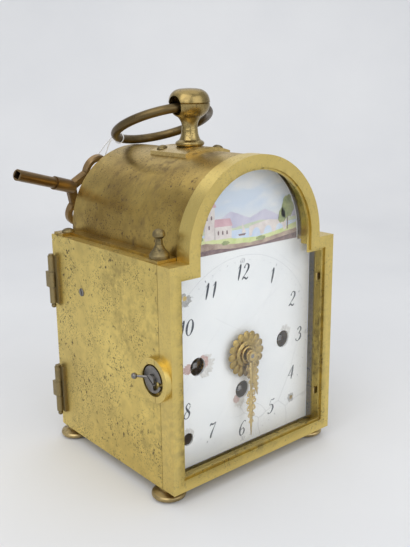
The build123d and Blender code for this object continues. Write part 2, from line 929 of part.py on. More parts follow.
stud_reach = math.hypot(stud_y - latch_pivot_y, stud_z - latch_height)
stud_angle = math.degrees(math.atan2(stud_z - latch_height, stud_y - latch_pivot_y))
slot_half = stud_radius + slot_clearance
with BuildPart() as lever:
    with BuildSketch(side(lever_outer_x)):
        with Locations((latch_pivot_y, latch_height)):
            Circle(lever_radius)
            Circle(latch_screw_radius + 0.06, mode=Mode.SUBTRACT)
        # Arc slot that the stud runs along, and its mouth towards the front
        steps = 16
        slot_span = lever_turn + math.degrees(slot_half / stud_reach) + 3.0
        outer = []
        inner = []
        for i in range(steps + 1):
            angle = math.radians(stud_angle + slot_span * i / steps)
            for reach, points in ((stud_reach + slot_half, outer), (stud_reach - slot_half, inner)):
                points.append(
                    (latch_pivot_y + reach * math.cos(angle), latch_height + reach * math.sin(angle))
                )
        with BuildLine():
            Polyline(*outer, *reversed(inner), close=True)
        make_face(mode=Mode.SUBTRACT)
        with Locations((stud_y, stud_z)):
            Circle(slot_half, mode=Mode.SUBTRACT)
        with Locations((stud_y - 3.0, stud_z)):
            Rectangle(6.0, 2 * slot_half, mode=Mode.SUBTRACT)
    extrude(amount=lever_thickness)
    # Ball-ended thumb pin, rising over the rim of the mount
    foot = Vector(lever_outer_x + 0.55, latch_pivot_y + 3.4, latch_height)
    ball = Vector(lever_outer_x - 2.8, latch_pivot_y + thumb_reach, latch_height)
    with BuildSketch(Plane(origin=foot, z_dir=ball - foot)):
        Circle(thumb_stem_radius)
    extrude(amount=(ball - foot).length)
    with Locations(ball):
        Sphere(thumb_ball_radius)
save(lever.part, "latch_lever")

latch_head_x = lever_outer_x - 0.08
with BuildPart() as latch_screw:
    with BuildSketch(side(latch_head_x - latch_screw_head_height)):
        with Locations((latch_pivot_y, latch_height)):
            Circle(latch_screw_head_radius)
    extrude(amount=latch_screw_head_height)
    with BuildSketch(side(latch_head_x)):
        with Locations((latch_pivot_y, latch_height)):
            Circle(latch_screw_radius)
    extrude(amount=-half_width + sheet - latch_head_x)
    with Locations((latch_head_x - latch_screw_head_height, latch_pivot_y, latch_height)):
        Box(0.8, 6.0, 0.55, rotation=(35, 0, 0), mode=Mode.SUBTRACT)
save(latch_screw.part, "latch_screw")

with BuildPart() as side_screw:
    with BuildSketch(side(-half_width - 0.25)):
        with Locations((side_screw_y, side_screw_z)):
            Circle(side_screw_radius)
    extrude(amount=sheet + 0.25 + bracket_thickness)
    with Locations((-half_width - 0.25, side_screw_y, side_screw_z)):
        Box(0.8, 6.0, 0.6, rotation=(70, 0, 0), mode=Mode.SUBTRACT)
save(side_screw.part, "side_screw")

# Winding key
key_origin = Vector(*key_place)
key_axis = Vector(*key_pipe_direction).normalized()
key_normal = key_axis.cross(Vector(*key_bow_direction)).normalized()
key_across = key_normal.cross(key_axis)


def key_point(along, across_bow, out=0.0):
    return key_origin + key_axis * along + key_across * across_bow + key_normal * out


with BuildPart() as key:
    bow_plane = Plane(origin=key_point(0, 0, -bow_stock / 2), x_dir=key_axis, z_dir=key_normal)
    with BuildSketch(bow_plane):
        for way in (-1, 1):
            with BuildLine():
                Polyline(
                    (1.5, 0),
                    (0.5, way * 2.2),
                    (-bow_lobe_back + 5.2, way * (bow_lobe_across - 0.6)),
                    (-bow_lobe_back + 2.4, way * (bow_lobe_across - 3.4)),
                    (-3.4, 0),
                    close=True,
                )
            make_face()
            with BuildLine():
                Polyline(
                    (-bow_lobe_back - 5.2, way * (bow_lobe_across - 1.6)),
                    (-bow_lobe_back - 7.6, 0),
                    (-bow_lobe_back - 4.6, 0),
                    (-bow_lobe_back - 2.6, way * (bow_lobe_across - 3.0)),
                    close=True,
                )
            make_face()
        with Locations((-bow_lobe_back, bow_lobe_across), (-bow_lobe_back, -bow_lobe_across)):
            Circle(bow_lobe_radius)
        with Locations((-bow_lobe_back, bow_lobe_across), (-bow_lobe_back, -bow_lobe_across)):
            Circle(bow_lobe_hole_radius, mode=Mode.SUBTRACT)
    extrude(amount=bow_stock)
    rim = key.edges().filter_by(lambda edge: abs((edge.center() - key_origin).dot(key_normal)) > 1.4)
    chamfer(rim, 0.55)
    with BuildSketch(Plane(origin=key_point(-1.5, 0), x_dir=key_across, z_dir=key_axis)):
        Circle(key_collar_radius)
    extrude(amount=key_collar_length + 1.5)
    with BuildSketch(Plane(origin=key_point(key_collar_length, 0), x_dir=key_across, z_dir=key_axis)):
        Circle(key_pipe_radius)
    extrude(amount=key_pipe_length - key_collar_length)
    mouth = Plane(origin=key_point(key_pipe_length - key_square_depth, 0), x_dir=key_across, z_dir=key_axis)
    with BuildSketch(mouth):
        Rectangle(key_square, key_square)
    extrude(amount=key_square_depth, mode=Mode.SUBTRACT)
save(key.part, "winding_key")

# Thread: a loop over the ring's wire and through the upper lobe of the bow
tie = math.radians(thread_tie_angle)
tie_point = Vector(*ring_centre)
tie_point += Vector(1, 0, 0) * (ring_radius * math.cos(tie))
tie_point += Vector(*ring_back) * (ring_radius * math.sin(tie))
tie_tangent = Vector(1, 0, 0) * -math.sin(tie) + Vector(*ring_back) * math.cos(tie)
lobe_stock = (bow_lobe_radius + bow_lobe_hole_radius) / 2
lobe_point = key_point(-bow_lobe_back, bow_lobe_across + lobe_stock)
thread_way = (tie_point - lobe_point).normalized()
thread_side = thread_way.cross(tie_tangent).normalized()
ring_wrap = ring_wire_radius + thread_radius + thread_slack
stock_wrap = bow_stock / 2 + thread_radius + thread_slack + 0.1


def ring_corner(side_step, way_step, along):
    """Corner of the turn round the ring's wire, in steps of the wrap's half width."""
    return (
        tie_point
        + thread_side * (side_step * ring_wrap)
        + thread_way * (way_step * ring_wrap)
        + tie_tangent * along
    )


def stock_corner(out_step, across_step):
    """Corner of the thread's path round the stock of the upper lobe."""
    return lobe_point + key_normal * (out_step * stock_wrap) + key_across * (across_step * stock_wrap)


thread_corners = [
    stock_corner(0.15, -1.0),
    stock_corner(1.0, -1.0),
    stock_corner(1.0, 1.3),
    ring_corner(-1.35, -0.6, -0.3),
    ring_corner(-1.3, 1.0, 0.0),
    ring_corner(1.0, 1.0, 0.35),
    ring_corner(1.0, -1.0, 0.75),
    ring_corner(-1.25, -1.15, 1.1),
    stock_corner(-1.0, 1.25),
    stock_corner(-1.0, -1.0),
    stock_corner(-0.15, -1.0),
]
thread_bends = [0.75, 1.2, 0.8, 1.6, 2.0, 2.0, 2.0, 1.2, 0.75]
with BuildPart() as thread:
    with BuildLine() as thread_path:
        FilletPolyline(*thread_corners, radius=thread_bends)
    start_way = thread_corners[1] - thread_corners[0]
    with BuildSketch(Plane(origin=thread_corners[0], z_dir=start_way)):
        Circle(thread_radius)
    sweep(path=thread_path.line)
save(thread.part, "key_thread")

# Dial, with its winding holes
dial_back_y = dial_y + dial_thickness
winding_places = [
    (winding_offset, centre_z),
    (-winding_offset, centre_z),
    (0, centre_z - lower_winding_drop),
]
corner_place = (-corner_winding_across, centre_z - corner_winding_drop)
dial_screw_places = [
    (-dial_screw_across, centre_z + dial_screw_rise),
    (dial_screw_across, centre_z - dial_screw_rise),
]
with BuildPart() as dial:
    with BuildSketch(across(dial_back_y)):
        with BuildLine():
            shouldered_arch(
                case_width - 2 * dial_edge_inset,
                floor_z + dial_bottom_inset,
                shoulder_z - sheet - 0.4,
                dial_arch_radius,
                arch_z,
            )
        make_face()
        with Locations((0, centre_z)):
            Circle(centre_hole_radius, mode=Mode.SUBTRACT)
        with Locations(*winding_places):
            Circle(winding_hole_radius, mode=Mode.SUBTRACT)
        with Locations(corner_place):
            Circle(corner_hole_radius, mode=Mode.SUBTRACT)
        with Locations(*dial_screw_places):
            Circle(dial_screw_radius, mode=Mode.SUBTRACT)
    extrude(amount=dial_thickness)
save(dial.part, "dial")


# Movement
def rod(x, z, radius, y_low, y_high):
    """Round bar along Y."""
    with BuildSketch(across(y_high)) as section:
        with Locations((x, z)):
            Circle(radius)
    extrude(section.sketch, amount=y_high - y_low)


def toothed(x, z, teeth, module, phase, y_low, y_high, bore=0.0, crossings=0):
    """Toothed disc with flat-sided teeth, bored and crossed out if asked."""
    pitch = module * teeth / 2
    root = pitch - dedendum_share * module
    tip = pitch + addendum_share * module
    step = 2 * math.pi / teeth
    points = []
    for k in range(teeth):
        middle = math.radians(phase) + k * step
        for reach, share in ((root, -tooth_share), (tip, -tip_share), (tip, tip_share), (root, tooth_share)):
            half = share * step / 2 * (1.35 if reach == root else 1.0)
            points.append((x + reach * math.cos(middle + half), z + reach * math.sin(middle + half)))
    with BuildSketch(across(y_high)) as disc:
        with BuildLine():
            Polyline(*points, close=True)
        make_face()
        if bore:
            with Locations((x, z)):
                Circle(bore, mode=Mode.SUBTRACT)
        if crossings:
            rim_inner = root - 1.3
            hub = max(rim_inner * 0.3, 2.0)
            for k in range(crossings):
                low = math.radians(360 / crossings * k + 12)
                high = math.radians(360 / crossings * (k + 1) - 12)
                corners = []
                for i in range(7):
                    angle = low + (high - low) * i / 6
                    corners.append((x + rim_inner * math.cos(angle), z + rim_inner * math.sin(angle)))
                middle = (low + high) / 2
                spread = 1.2
                low_in = (x + hub * math.cos(middle - spread / 2), z + hub * math.sin(middle - spread / 2))
                high_in = (x + hub * math.cos(middle + spread / 2), z + hub * math.sin(middle + spread / 2))
                with BuildLine():
                    Polyline(*corners, high_in, low_in, close=True)
                make_face(mode=Mode.SUBTRACT)
    extrude(disc.sketch, amount=y_high - y_low)


def mesh_phase(teeth, phase, direction, other_teeth):
    """Phase in degrees that puts the other wheel's gap on this wheel's tooth, seen along the direction."""
    offset = (direction - phase) * teeth / 360
    other = 0.5 - offset
    return direction + 180 - other * 360 / other_teeth


def arbor_with_pivots(x, z):
    """Arbor between the plates, with a thin pivot into each of them."""
    rod(x, z, arbor_radius, between_low + 0.2, between_high - 0.2)
    rod(x, z, pivot_radius, front_plate_y + 0.3, back_plate_rear_y - 0.3)


front_plate_y = dial_y + front_plate_behind_dial
between_low = front_plate_y + movement_plate_thickness
between_high = between_low + plate_spacing
back_plate_rear_y = between_high + movement_plate_thickness
plate_low_z = floor_z + plate_bottom
plate_high_z = plate_low_z + plate_height
plate_mid_z = (plate_low_z + plate_high_z) / 2

barrel_module = 2 * winding_offset / (barrel_teeth + centre_pinion_teeth)
third_reach = centre_wheel_module * (centre_wheel_teeth + third_pinion_teeth) / 2
third_x = third_reach * math.cos(math.radians(60))
third_z = centre_z + third_reach * math.sin(math.radians(60))
escape_reach = third_wheel_module * (third_wheel_teeth + escape_pinion_teeth) / 2
escape_x = third_x + escape_reach * math.cos(math.radians(40))
escape_z = third_z + escape_reach * math.sin(math.radians(40))
balance_x = escape_x - escape_wheel_radius - 2.6
balance_z = escape_z
minute_reach = motion_module * (cannon_teeth + minute_wheel_teeth) / 2
minute_x = minute_reach * math.cos(math.radians(215))
minute_z = centre_z + minute_reach * math.sin(math.radians(215))
hour_module = 2 * minute_reach / (minute_pinion_teeth + hour_wheel_teeth)
hammer_x = -27.0
hammer_z = plate_high_z - 9.0

pillar_places = [
    (x, z)
    for x in (-plate_width / 2 + pillar_inset, plate_width / 2 - pillar_inset)
    for z in (plate_low_z + pillar_inset, plate_high_z - pillar_inset)
]
pivot_places = [(third_x, third_z), (escape_x, escape_z)]


def movement_plate(y_low, centre_hole):
    with BuildSketch(across(y_low + movement_plate_thickness)) as outline:
        with Locations((0, plate_mid_z)):
            Rectangle(plate_width, plate_height)
        with Locations((0, centre_z)):
            Circle(centre_hole, mode=Mode.SUBTRACT)
        with Locations(*winding_places):
            Circle(winding_arbor_radius + pivot_clearance, mode=Mode.SUBTRACT)
        with Locations(*pivot_places):
            Circle(pivot_radius + pivot_clearance, mode=Mode.SUBTRACT)
        with Locations((hammer_x, hammer_z)):
            Circle(arbor_radius + pivot_clearance, mode=Mode.SUBTRACT)
    extrude(outline.sketch, amount=movement_plate_thickness)


with BuildPart() as front_plate:
    movement_plate(front_plate_y, arbor_radius + pivot_clearance)
    rod(minute_x, minute_z, 0.8, front_plate_y - 3.7, front_plate_y)
save(front_plate.part, "front_movement_plate")

with BuildPart() as back_plate:
    movement_plate(between_high, arbor_radius + pivot_clearance)
    with BuildSketch(across(back_plate_rear_y)):
        with Locations((balance_x, balance_z)):
            Circle(pivot_radius + pivot_clearance)
    extrude(amount=movement_plate_thickness, mode=Mode.SUBTRACT)
save(back_plate.part, "back_movement_plate")

with BuildPart() as pillars:
    for x, z in pillar_places:
        rod(x, z, pillar_radius, between_low, between_high)
        rod(x, z, pillar_radius * 0.75, between_low + 4.0, between_high - 4.0)
save(pillars.part, "movement_pillars")

with BuildPart() as dial_feet:
    for x, z in dial_screw_places:
        rod(x, z, dial_screw_radius, dial_y, dial_back_y)
        rod(x, z, 1.8, dial_back_y, front_plate_y)
save(dial_feet.part, "dial_feet")

# Brackets that carry the movement between the side plates
with BuildPart() as brackets:
    for way in (-1, 1):
        face_x = way * (half_width - sheet)
        with Locations((face_x - way * bracket_thickness / 2, between_high - 5.0, side_screw_z)):
            Box(bracket_thickness, bracket_length, bracket_height)
        foot_width = half_width - sheet - plate_width / 2 + 6.0
        foot_x = way * (plate_width / 2 - 6.0 + foot_width / 2)
        with Locations((foot_x, back_plate_rear_y + bracket_thickness / 2, side_screw_z)):
            Box(foot_width, bracket_thickness, bracket_height)
    with BuildSketch(side(-half_width + sheet - 0.1)):
        with Locations((side_screw_y, side_screw_z)):
            Circle(side_screw_radius)
    extrude(amount=bracket_thickness + 0.2, mode=Mode.SUBTRACT)
    for way in (-1, 1):
        rest_low_z = floor_z + base_thickness
        rest_y = (front_plate_y + back_plate_rear_y) / 2
        with Locations((way * rest_offset, rest_y, (rest_low_z + plate_low_z) / 2)):
            Box(8.0, back_plate_rear_y - front_plate_y, plate_low_z - rest_low_z)
save(brackets.part, "movement_supports")


# Barrels: a drum with a toothed rim, turning on its winding arbor
def barrel(name, x, z, rim_low, rim_high, drum_low, drum_high, phase):
    with BuildPart() as drum:
        rod(x, z, barrel_drum_radius, drum_low, drum_high)
        toothed(x, z, barrel_teeth, barrel_module, phase, rim_low, rim_high)
        with BuildSketch(across(drum_high - 1.0)):
            with Locations((x, z)):
                Circle(barrel_drum_radius - 1.0)
        extrude(amount=drum_high - drum_low - 2.0, mode=Mode.SUBTRACT)
        with BuildSketch(across(max(drum_high, rim_high))):
            with Locations((x, z)):
                Circle(winding_arbor_radius + pivot_clearance)
        extrude(amount=barrel_length + 6.0, mode=Mode.SUBTRACT)
    save(drum.part, name)


def winding_arbor(name, x, z, hub_low, hub_high):
    with BuildPart() as arbor:
        rod(x, z, winding_arbor_radius, front_plate_y - 0.6, back_plate_rear_y + 0.8)
        with BuildSketch(across(front_plate_y - 0.6)):
            with Locations((x, z)):
                Rectangle(winding_square * 0.8, winding_square * 0.8)
        extrude(amount=front_plate_y - 0.6 - (dial_y + dial_thickness + 0.9))
        rod(x, z, winding_arbor_radius + 2.2, hub_low, hub_high)
    save(arbor.part, name)


rim_low = between_low + 0.8
rim_high = rim_low + 1.8
drum_low = rim_high
drum_high = drum_low + barrel_length
centre_phase = 0.0
barrel_phase = mesh_phase(centre_pinion_teeth, centre_phase, 0.0, barrel_teeth)
barrel("going_barrel", winding_offset, centre_z, rim_low, rim_high, drum_low, drum_high, barrel_phase)
winding_arbor("going_winding_arbor", winding_offset, centre_z, drum_low + 1.3, drum_high - 1.3)
strike_low = drum_low
strike_high = drum_high
barrel(
    "striking_barrel",
    -winding_offset,
    centre_z,
    strike_high,
    strike_high + 1.8,
    strike_low,
    strike_high,
    0.0,
)
winding_arbor("striking_winding_arbor", -winding_offset, centre_z, strike_low + 1.3, strike_high - 1.3)

# Alarm barrel, small, low in the middle and behind the other two
alarm_z = centre_z - lower_winding_drop
alarm_low = drum_high + alarm_barrel_gap
alarm_high = alarm_low + alarm_barrel_length
with BuildPart() as alarm_barrel:
    rod(0, alarm_z, 11.0, alarm_low, alarm_high)
    with BuildSketch(across(alarm_high - 0.8)):
        with Locations((0, alarm_z)):
            Circle(10.0)
    extrude(amount=alarm_high - alarm_low - 1.6, mode=Mode.SUBTRACT)
    with BuildSketch(across(alarm_high)):
        with Locations((0, alarm_z)):
            Circle(winding_arbor_radius + pivot_clearance)
    extrude(amount=alarm_high - alarm_low, mode=Mode.SUBTRACT)
save(alarm_barrel.part, "alarm_barrel")
winding_arbor("alarm_winding_arbor", 0, alarm_z, alarm_low + 1.2, alarm_high - 1.2)

# Centre arbor, which carries the minute hand, with its pinion and wheel
hand_y = front_y + bezel_front_wall + glass_thickness + 1.0
minute_hand_y = hand_y
hour_hand_y = minute_hand_y + hand_thickness + 0.9
rosette_y = hour_hand_y + hand_thickness + 0.5
minute_hub_y = minute_hand_y - 0.5
with BuildPart() as centre_arbor:
    rod(0, centre_z, arbor_radius, minute_hub_y, back_plate_rear_y - 0.3)
    toothed(
        0, centre_z, centre_pinion_teeth, barrel_module, centre_phase, rim_low, rim_high
    )
save(centre_arbor.part, "centre_arbor")

centre_wheel_low = drum_high + 4.5
with BuildPart() as centre_wheel:
    toothed(
        0,
        centre_z,
        centre_wheel_teeth,
        centre_wheel_module,
        0.0,
        centre_wheel_low,
        centre_wheel_low + wheel_thickness,
        arbor_radius,
        4,
    )
save(centre_wheel.part, "centre_wheel")

third_phase = mesh_phase(centre_wheel_teeth, 0.0, 60.0, third_pinion_teeth)
third_wheel_low = centre_wheel_low + 4.0
with BuildPart() as third_wheel:
    arbor_with_pivots(third_x, third_z)
    toothed(
        third_x,
        third_z,
        third_pinion_teeth,
        centre_wheel_module,
        third_phase,
        centre_wheel_low - 0.6,
        centre_wheel_low + wheel_thickness + 0.6,
    )
    toothed(
        third_x,
        third_z,
        third_wheel_teeth,
        third_wheel_module,
        0.0,
        third_wheel_low,
        third_wheel_low + wheel_thickness,
        0.0,
        4,
    )
save(third_wheel.part, "third_wheel")

escape_phase = mesh_phase(third_wheel_teeth, 0.0, 40.0, escape_pinion_teeth)
escape_wheel_low = between_high - 3.4
with BuildPart() as escape_wheel:
    arbor_with_pivots(escape_x, escape_z)
    toothed(
        escape_x,
        escape_z,
        escape_pinion_teeth,
        third_wheel_module,
        escape_phase,
        third_wheel_low - 0.6,
        third_wheel_low + wheel_thickness + 0.6,
    )
    with BuildSketch(across(escape_wheel_low + 1.0)):
        escape_points = []
        for k in range(escape_wheel_teeth):
            base_angle = 2 * math.pi * k / escape_wheel_teeth
            tooth_corners = (
                (escape_wheel_radius * 0.72, 0.0),
                (escape_wheel_radius, 0.12),
                (escape_wheel_radius, 0.18),
            )
            for reach, turn in tooth_corners:
                angle = base_angle + turn
                escape_points.append((escape_x + reach * math.cos(angle), escape_z + reach * math.sin(angle)))
        with BuildLine():
            Polyline(*escape_points, close=True)
        make_face()
    extrude(amount=1.0)
save(escape_wheel.part, "escape_wheel")

# Balance behind the back plate, under its cock
balance_low = back_plate_rear_y + 1.6
cock_low = back_plate_rear_y + 5.2
with BuildPart() as balance:
    rod(balance_x, balance_z, 0.8, back_plate_rear_y + 0.2, cock_low - 0.2)
    rod(balance_x, balance_z, pivot_radius, between_high - 4.4, cock_low + 1.0)
    with BuildSketch(across(balance_low + balance_width)):
        with Locations((balance_x, balance_z)):
            Circle(balance_radius)
            Circle(balance_radius - 1.3, mode=Mode.SUBTRACT)
            Rectangle(1.2, 2 * balance_radius - 1.0)
            Circle(1.8)
    extrude(amount=balance_width)
save(balance.part, "balance_wheel")

with BuildPart() as hairspring:
    with BuildSketch(across(balance_low + balance_width + 0.9)):
        with BuildLine():
            turns = 4.0
            spiral = []
            for i in range(int(turns * 16) + 1):
                angle = 2 * math.pi * i / 16
                reach = 0.9 + 0.85 * angle / (2 * math.pi)
                spiral.append((reach, angle))
            outward = [
                (balance_x + (r + 0.12) * math.cos(a), balance_z + (r + 0.12) * math.sin(a))
                for r, a in spiral
            ]
            homeward = [
                (balance_x + (r - 0.12) * math.cos(a), balance_z + (r - 0.12) * math.sin(a)) for r, a in spiral
            ]
            Polyline(*outward, *reversed(homeward), close=True)
        make_face()
    extrude(amount=0.6)
save(hairspring.part, "balance_spring")

cock_foot_x = balance_x + balance_radius + 5.0
with BuildPart() as cock:
    with BuildSketch(across(cock_low + 1.6)):
        with Locations((balance_x, balance_z)):
            Circle(balance_radius * 0.62)
        with Locations(((balance_x + cock_foot_x) / 2, balance_z)):
            Rectangle(cock_foot_x - balance_x, 4.5)
        with Locations((cock_foot_x, balance_z)):
            Rectangle(6.0, 9.0)
        with Locations((balance_x, balance_z)):
            Circle(pivot_radius + pivot_clearance, mode=Mode.SUBTRACT)
            with PolarLocations(balance_radius * 0.36, 5):
                Circle(0.9, mode=Mode.SUBTRACT)
    extrude(amount=1.6)
    with Locations((cock_foot_x, (back_plate_rear_y + cock_low) / 2, balance_z)):
        Box(6.0, cock_low - back_plate_rear_y, 9.0)
save(cock.part, "balance_cock")

# Motion work behind the dial
motion_high = front_plate_y - 0.5
motion_mid = motion_high - 1.5
with BuildPart() as cannon:
    rod(0, centre_z, cannon_radius, minute_hand_y + hand_thickness + 0.02, motion_high)
    toothed(
        0,
        centre_z,
        cannon_teeth,
        motion_module,
        0.0,
        motion_high - 1.2,
        motion_high,
    )
    with BuildSketch(across(motion_high)):
        with Locations((0, centre_z)):
            Circle(arbor_radius)
    extrude(amount=motion_high - minute_hand_y, mode=Mode.SUBTRACT)
save(cannon.part, "cannon_pinion")

minute_phase = mesh_phase(cannon_teeth, 0.0, 215.0, minute_wheel_teeth)
with BuildPart() as minute_wheel:
    toothed(
        minute_x, minute_z, minute_wheel_teeth, motion_module, minute_phase, motion_high - 1.0, motion_high - 0.2
    )
    toothed(minute_x, minute_z, minute_pinion_teeth, hour_module, 0.0, motion_high - 2.9, motion_high - 1.0)
    with BuildSketch(across(motion_high)):
        with Locations((minute_x, minute_z)):
            Circle(0.8 + pivot_clearance)
    extrude(amount=4.0, mode=Mode.SUBTRACT)
save(minute_wheel.part, "minute_wheel")

hour_phase = mesh_phase(minute_pinion_teeth, 0.0, 35.0, hour_wheel_teeth)
with BuildPart() as hour_wheel:
    rod(0, centre_z, hour_pipe_radius, hour_hand_y, motion_high - 1.5)
    toothed(0, centre_z, hour_wheel_teeth, hour_module, hour_phase, motion_high - 2.5, motion_high - 1.5)
    with BuildSketch(across(motion_high)):
        with Locations((0, centre_z)):
            Circle(cannon_radius + pipe_clearance)
    extrude(amount=motion_high - hour_hand_y + 1.0, mode=Mode.SUBTRACT)
save(hour_wheel.part, "hour_wheel")


# Hands, drawn pointing up and then turned to their time
with BuildPart() as rosette:
    with BuildSketch(across(rosette_y + 0.8)):
        with Locations((0, centre_z)):
            Circle(rosette_radius - 1.1)
            with PolarLocations(rosette_radius - 1.1, rosette_lobes):
                Circle(1.15)
            Circle(hour_pipe_radius + pipe_clearance, mode=Mode.SUBTRACT)
    extrude(amount=0.8)
save(rosette.part, "alarm_disc")

with BuildPart() as hour_hand:
    with BuildSketch(across(hour_hand_y + hand_thickness)):
        with Locations(Location((0, centre_z, 0), (0, 0, -hour_hand_turn))):
            Circle(hour_pipe_radius + 1.5)
            with Locations((0, hour_hand_length * 0.42)):
                Rectangle(1.5, hour_hand_length * 0.5)
            with Locations((0, hour_hand_length * 0.52)):
                Circle(2.9)
            with Locations((0, hour_hand_length * 0.52)):
                Circle(1.7, mode=Mode.SUBTRACT)
            with Locations((-2.0, hour_hand_length * 0.72), (2.0, hour_hand_length * 0.72)):
                Circle(1.15)
            with Locations((0, hour_hand_length * 0.75)):
                Circle(1.7)
            Polygon(
                (-0.9, hour_hand_length * 0.78),
                (0.9, hour_hand_length * 0.78),
                (0.2, hour_hand_length),
                (-0.2, hour_hand_length),
                align=None,
            )
            Circle(hour_pipe_radius, mode=Mode.SUBTRACT)
    extrude(amount=hand_thickness)
save(hour_hand.part, "hour_hand")

with BuildPart() as minute_hand:
    with BuildSketch(across(minute_hand_y + hand_thickness)):
        with Locations(Location((0, centre_z, 0), (0, 0, -minute_hand_turn))):
            Circle(hand_hub_radius)
            with Locations((0, minute_hand_length * 0.30)):
                Rectangle(1.3, minute_hand_length * 0.52)
            with Locations((0, minute_hand_length * 0.44)):
                Circle(2.6)
            with Locations((0, minute_hand_length * 0.44)):
                Circle(1.5, mode=Mode.SUBTRACT)
            with Locations((-1.9, minute_hand_length * 0.54), (1.9, minute_hand_length * 0.54)):
                Circle(1.1)
            with Locations((0, minute_hand_length * 0.56)):
                Circle(1.5)
            Polygon(
                (-0.8, minute_hand_length * 0.56),
                (0.8, minute_hand_length * 0.56),
                (0.2, minute_hand_length),
                (-0.2, minute_hand_length),
                align=None,
            )
            Circle(arbor_radius, mode=Mode.SUBTRACT)
    extrude(amount=hand_thickness)
save(minute_hand.part, "minute_hand")

with BuildPart() as collet:
    with BuildSketch(across(minute_hand_y - 0.02)):
        with Locations((0, centre_z)):
            Circle(1.9)
            Circle(arbor_radius, mode=Mode.SUBTRACT)
    extrude(amount=0.5)
save(collet.part, "hand_collet")

# Bell and its hammer behind the back plate
bell_z = centre_z - 10.0
bell_back_y = door_front_y - 2.4
bell_curve = (bell_radius**2 + bell_depth**2) / (2 * bell_depth)
bell_curve_y = bell_back_y - bell_curve


def bell_point(radius, reach):
    """Point of the bell's section at this distance from its axis, on a sphere of this radius."""
    return (reach, bell_curve_y + math.sqrt(radius**2 - reach**2))


with BuildPart() as bell:
    with BuildSketch(Plane(origin=(0, 0, bell_z), x_dir=(1, 0, 0), z_dir=(0, 0, 1))):
        with BuildLine():
            ThreePointArc(
                bell_point(bell_curve, 1.45),
                bell_point(bell_curve, bell_radius * 0.6),
                bell_point(bell_curve, bell_radius),
            )
            Line(
                bell_point(bell_curve, bell_radius),
                bell_point(bell_curve - bell_wall, bell_radius - bell_wall * 0.9),
            )
            ThreePointArc(
                bell_point(bell_curve - bell_wall, bell_radius - bell_wall * 0.9),
                bell_point(bell_curve - bell_wall, bell_radius * 0.6),
                bell_point(bell_curve - bell_wall, 1.45),
            )
            Line(bell_point(bell_curve - bell_wall, 1.45), bell_point(bell_curve, 1.45))
        make_face()
    revolve(axis=Axis((0, 0, bell_z), (0, 1, 0)))
save(bell.part, "bell")

with BuildPart() as bell_stand:
    rod(0, bell_z, 2.4, back_plate_rear_y + 0.02, bell_back_y - bell_wall - 0.7)
    rod(0, bell_z, 1.38, back_plate_rear_y + 0.02, bell_back_y + 0.2)
    rod(0, bell_z, 2.6, bell_back_y + 0.05, bell_back_y + 1.2)
save(bell_stand.part, "bell_stand")

head_radius = 2.2
head_angle = math.radians(140)
head_reach = bell_radius + hammer_gap + head_radius
head_x = head_reach * math.cos(head_angle)
head_z = bell_z + head_reach * math.sin(head_angle)
head_low = bell_back_y - bell_depth + 0.2
with BuildPart() as hammer:
    rod(hammer_x, hammer_z, arbor_radius, front_plate_y + 0.4, head_low + 2.0)
    rod(hammer_x, hammer_z, arbor_radius + 0.7, between_low + 0.2, between_low + 2.0)
    rod(hammer_x, hammer_z, arbor_radius + 0.7, between_high - 2.0, between_high - 0.2)
    rod(head_x, head_z, head_radius, head_low, head_low + 4.0)
    with BuildSketch(across(head_low + 2.0)):
        length = math.hypot(head_x - hammer_x, head_z - hammer_z)
        lean = math.degrees(math.atan2(head_z - hammer_z, head_x - hammer_x))
        with Locations(Location(((head_x + hammer_x) / 2, (head_z + hammer_z) / 2, 0), (0, 0, lean))):
            Rectangle(length, 1.4)
        with Locations((hammer_x, hammer_z)):
            Circle(1.6)
    extrude(amount=1.4)
save(hammer.part, "bell_hammer")

# Origin on the table, under the middle of the whole clock without the thread
bounds = [part.bounding_box() for name, part in finished.items() if name != "key_thread"]
low_x = min(box.min.X for box in bounds)
high_x = max(box.max.X for box in bounds)
low_y = min(box.min.Y for box in bounds)
high_y = max(box.max.Y for box in bounds)
middle_x = (low_x + high_x) / 2
middle_y = (low_y + high_y) / 2
print("case middle", round(-middle_x, 4), round(-middle_y, 4))
for name, part in finished.items():
    placed = part.moved(Location((-middle_x, -middle_y, 0)))
    placed.label = name
    export_step(placed, f"parts/{name}.step")
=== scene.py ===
import math
import random

import bmesh
import bpy
import numpy as np
from mathutils import Matrix, Vector


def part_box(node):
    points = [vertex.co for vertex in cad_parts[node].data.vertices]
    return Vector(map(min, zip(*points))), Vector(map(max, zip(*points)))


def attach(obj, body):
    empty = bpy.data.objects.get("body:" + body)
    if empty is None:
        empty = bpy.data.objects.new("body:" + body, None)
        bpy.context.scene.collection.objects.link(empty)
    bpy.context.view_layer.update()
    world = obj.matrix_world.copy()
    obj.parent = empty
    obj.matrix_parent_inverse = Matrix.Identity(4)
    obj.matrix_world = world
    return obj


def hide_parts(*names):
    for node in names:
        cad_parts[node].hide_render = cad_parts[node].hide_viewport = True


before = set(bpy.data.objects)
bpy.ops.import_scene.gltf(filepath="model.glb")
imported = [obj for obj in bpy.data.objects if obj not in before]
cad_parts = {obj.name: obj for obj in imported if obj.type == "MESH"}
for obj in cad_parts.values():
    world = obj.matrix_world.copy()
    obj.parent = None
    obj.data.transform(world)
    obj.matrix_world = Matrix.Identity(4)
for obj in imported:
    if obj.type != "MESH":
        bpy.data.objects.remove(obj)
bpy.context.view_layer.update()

scene = bpy.context.scene
MM = 0.001


# Case plates
# The box of the clock: two side plates, base, shoulder plate, rear arch, rear rail and rear door.
# Sheet brass, screwed together, yellow and dotted with dark corrosion.
def tree_of(name):
    """New material with its node tree and its Principled shader."""
    material = bpy.data.materials.new(name)
    material.use_nodes = True
    tree = material.node_tree
    return material, tree, tree.nodes["Principled BSDF"]


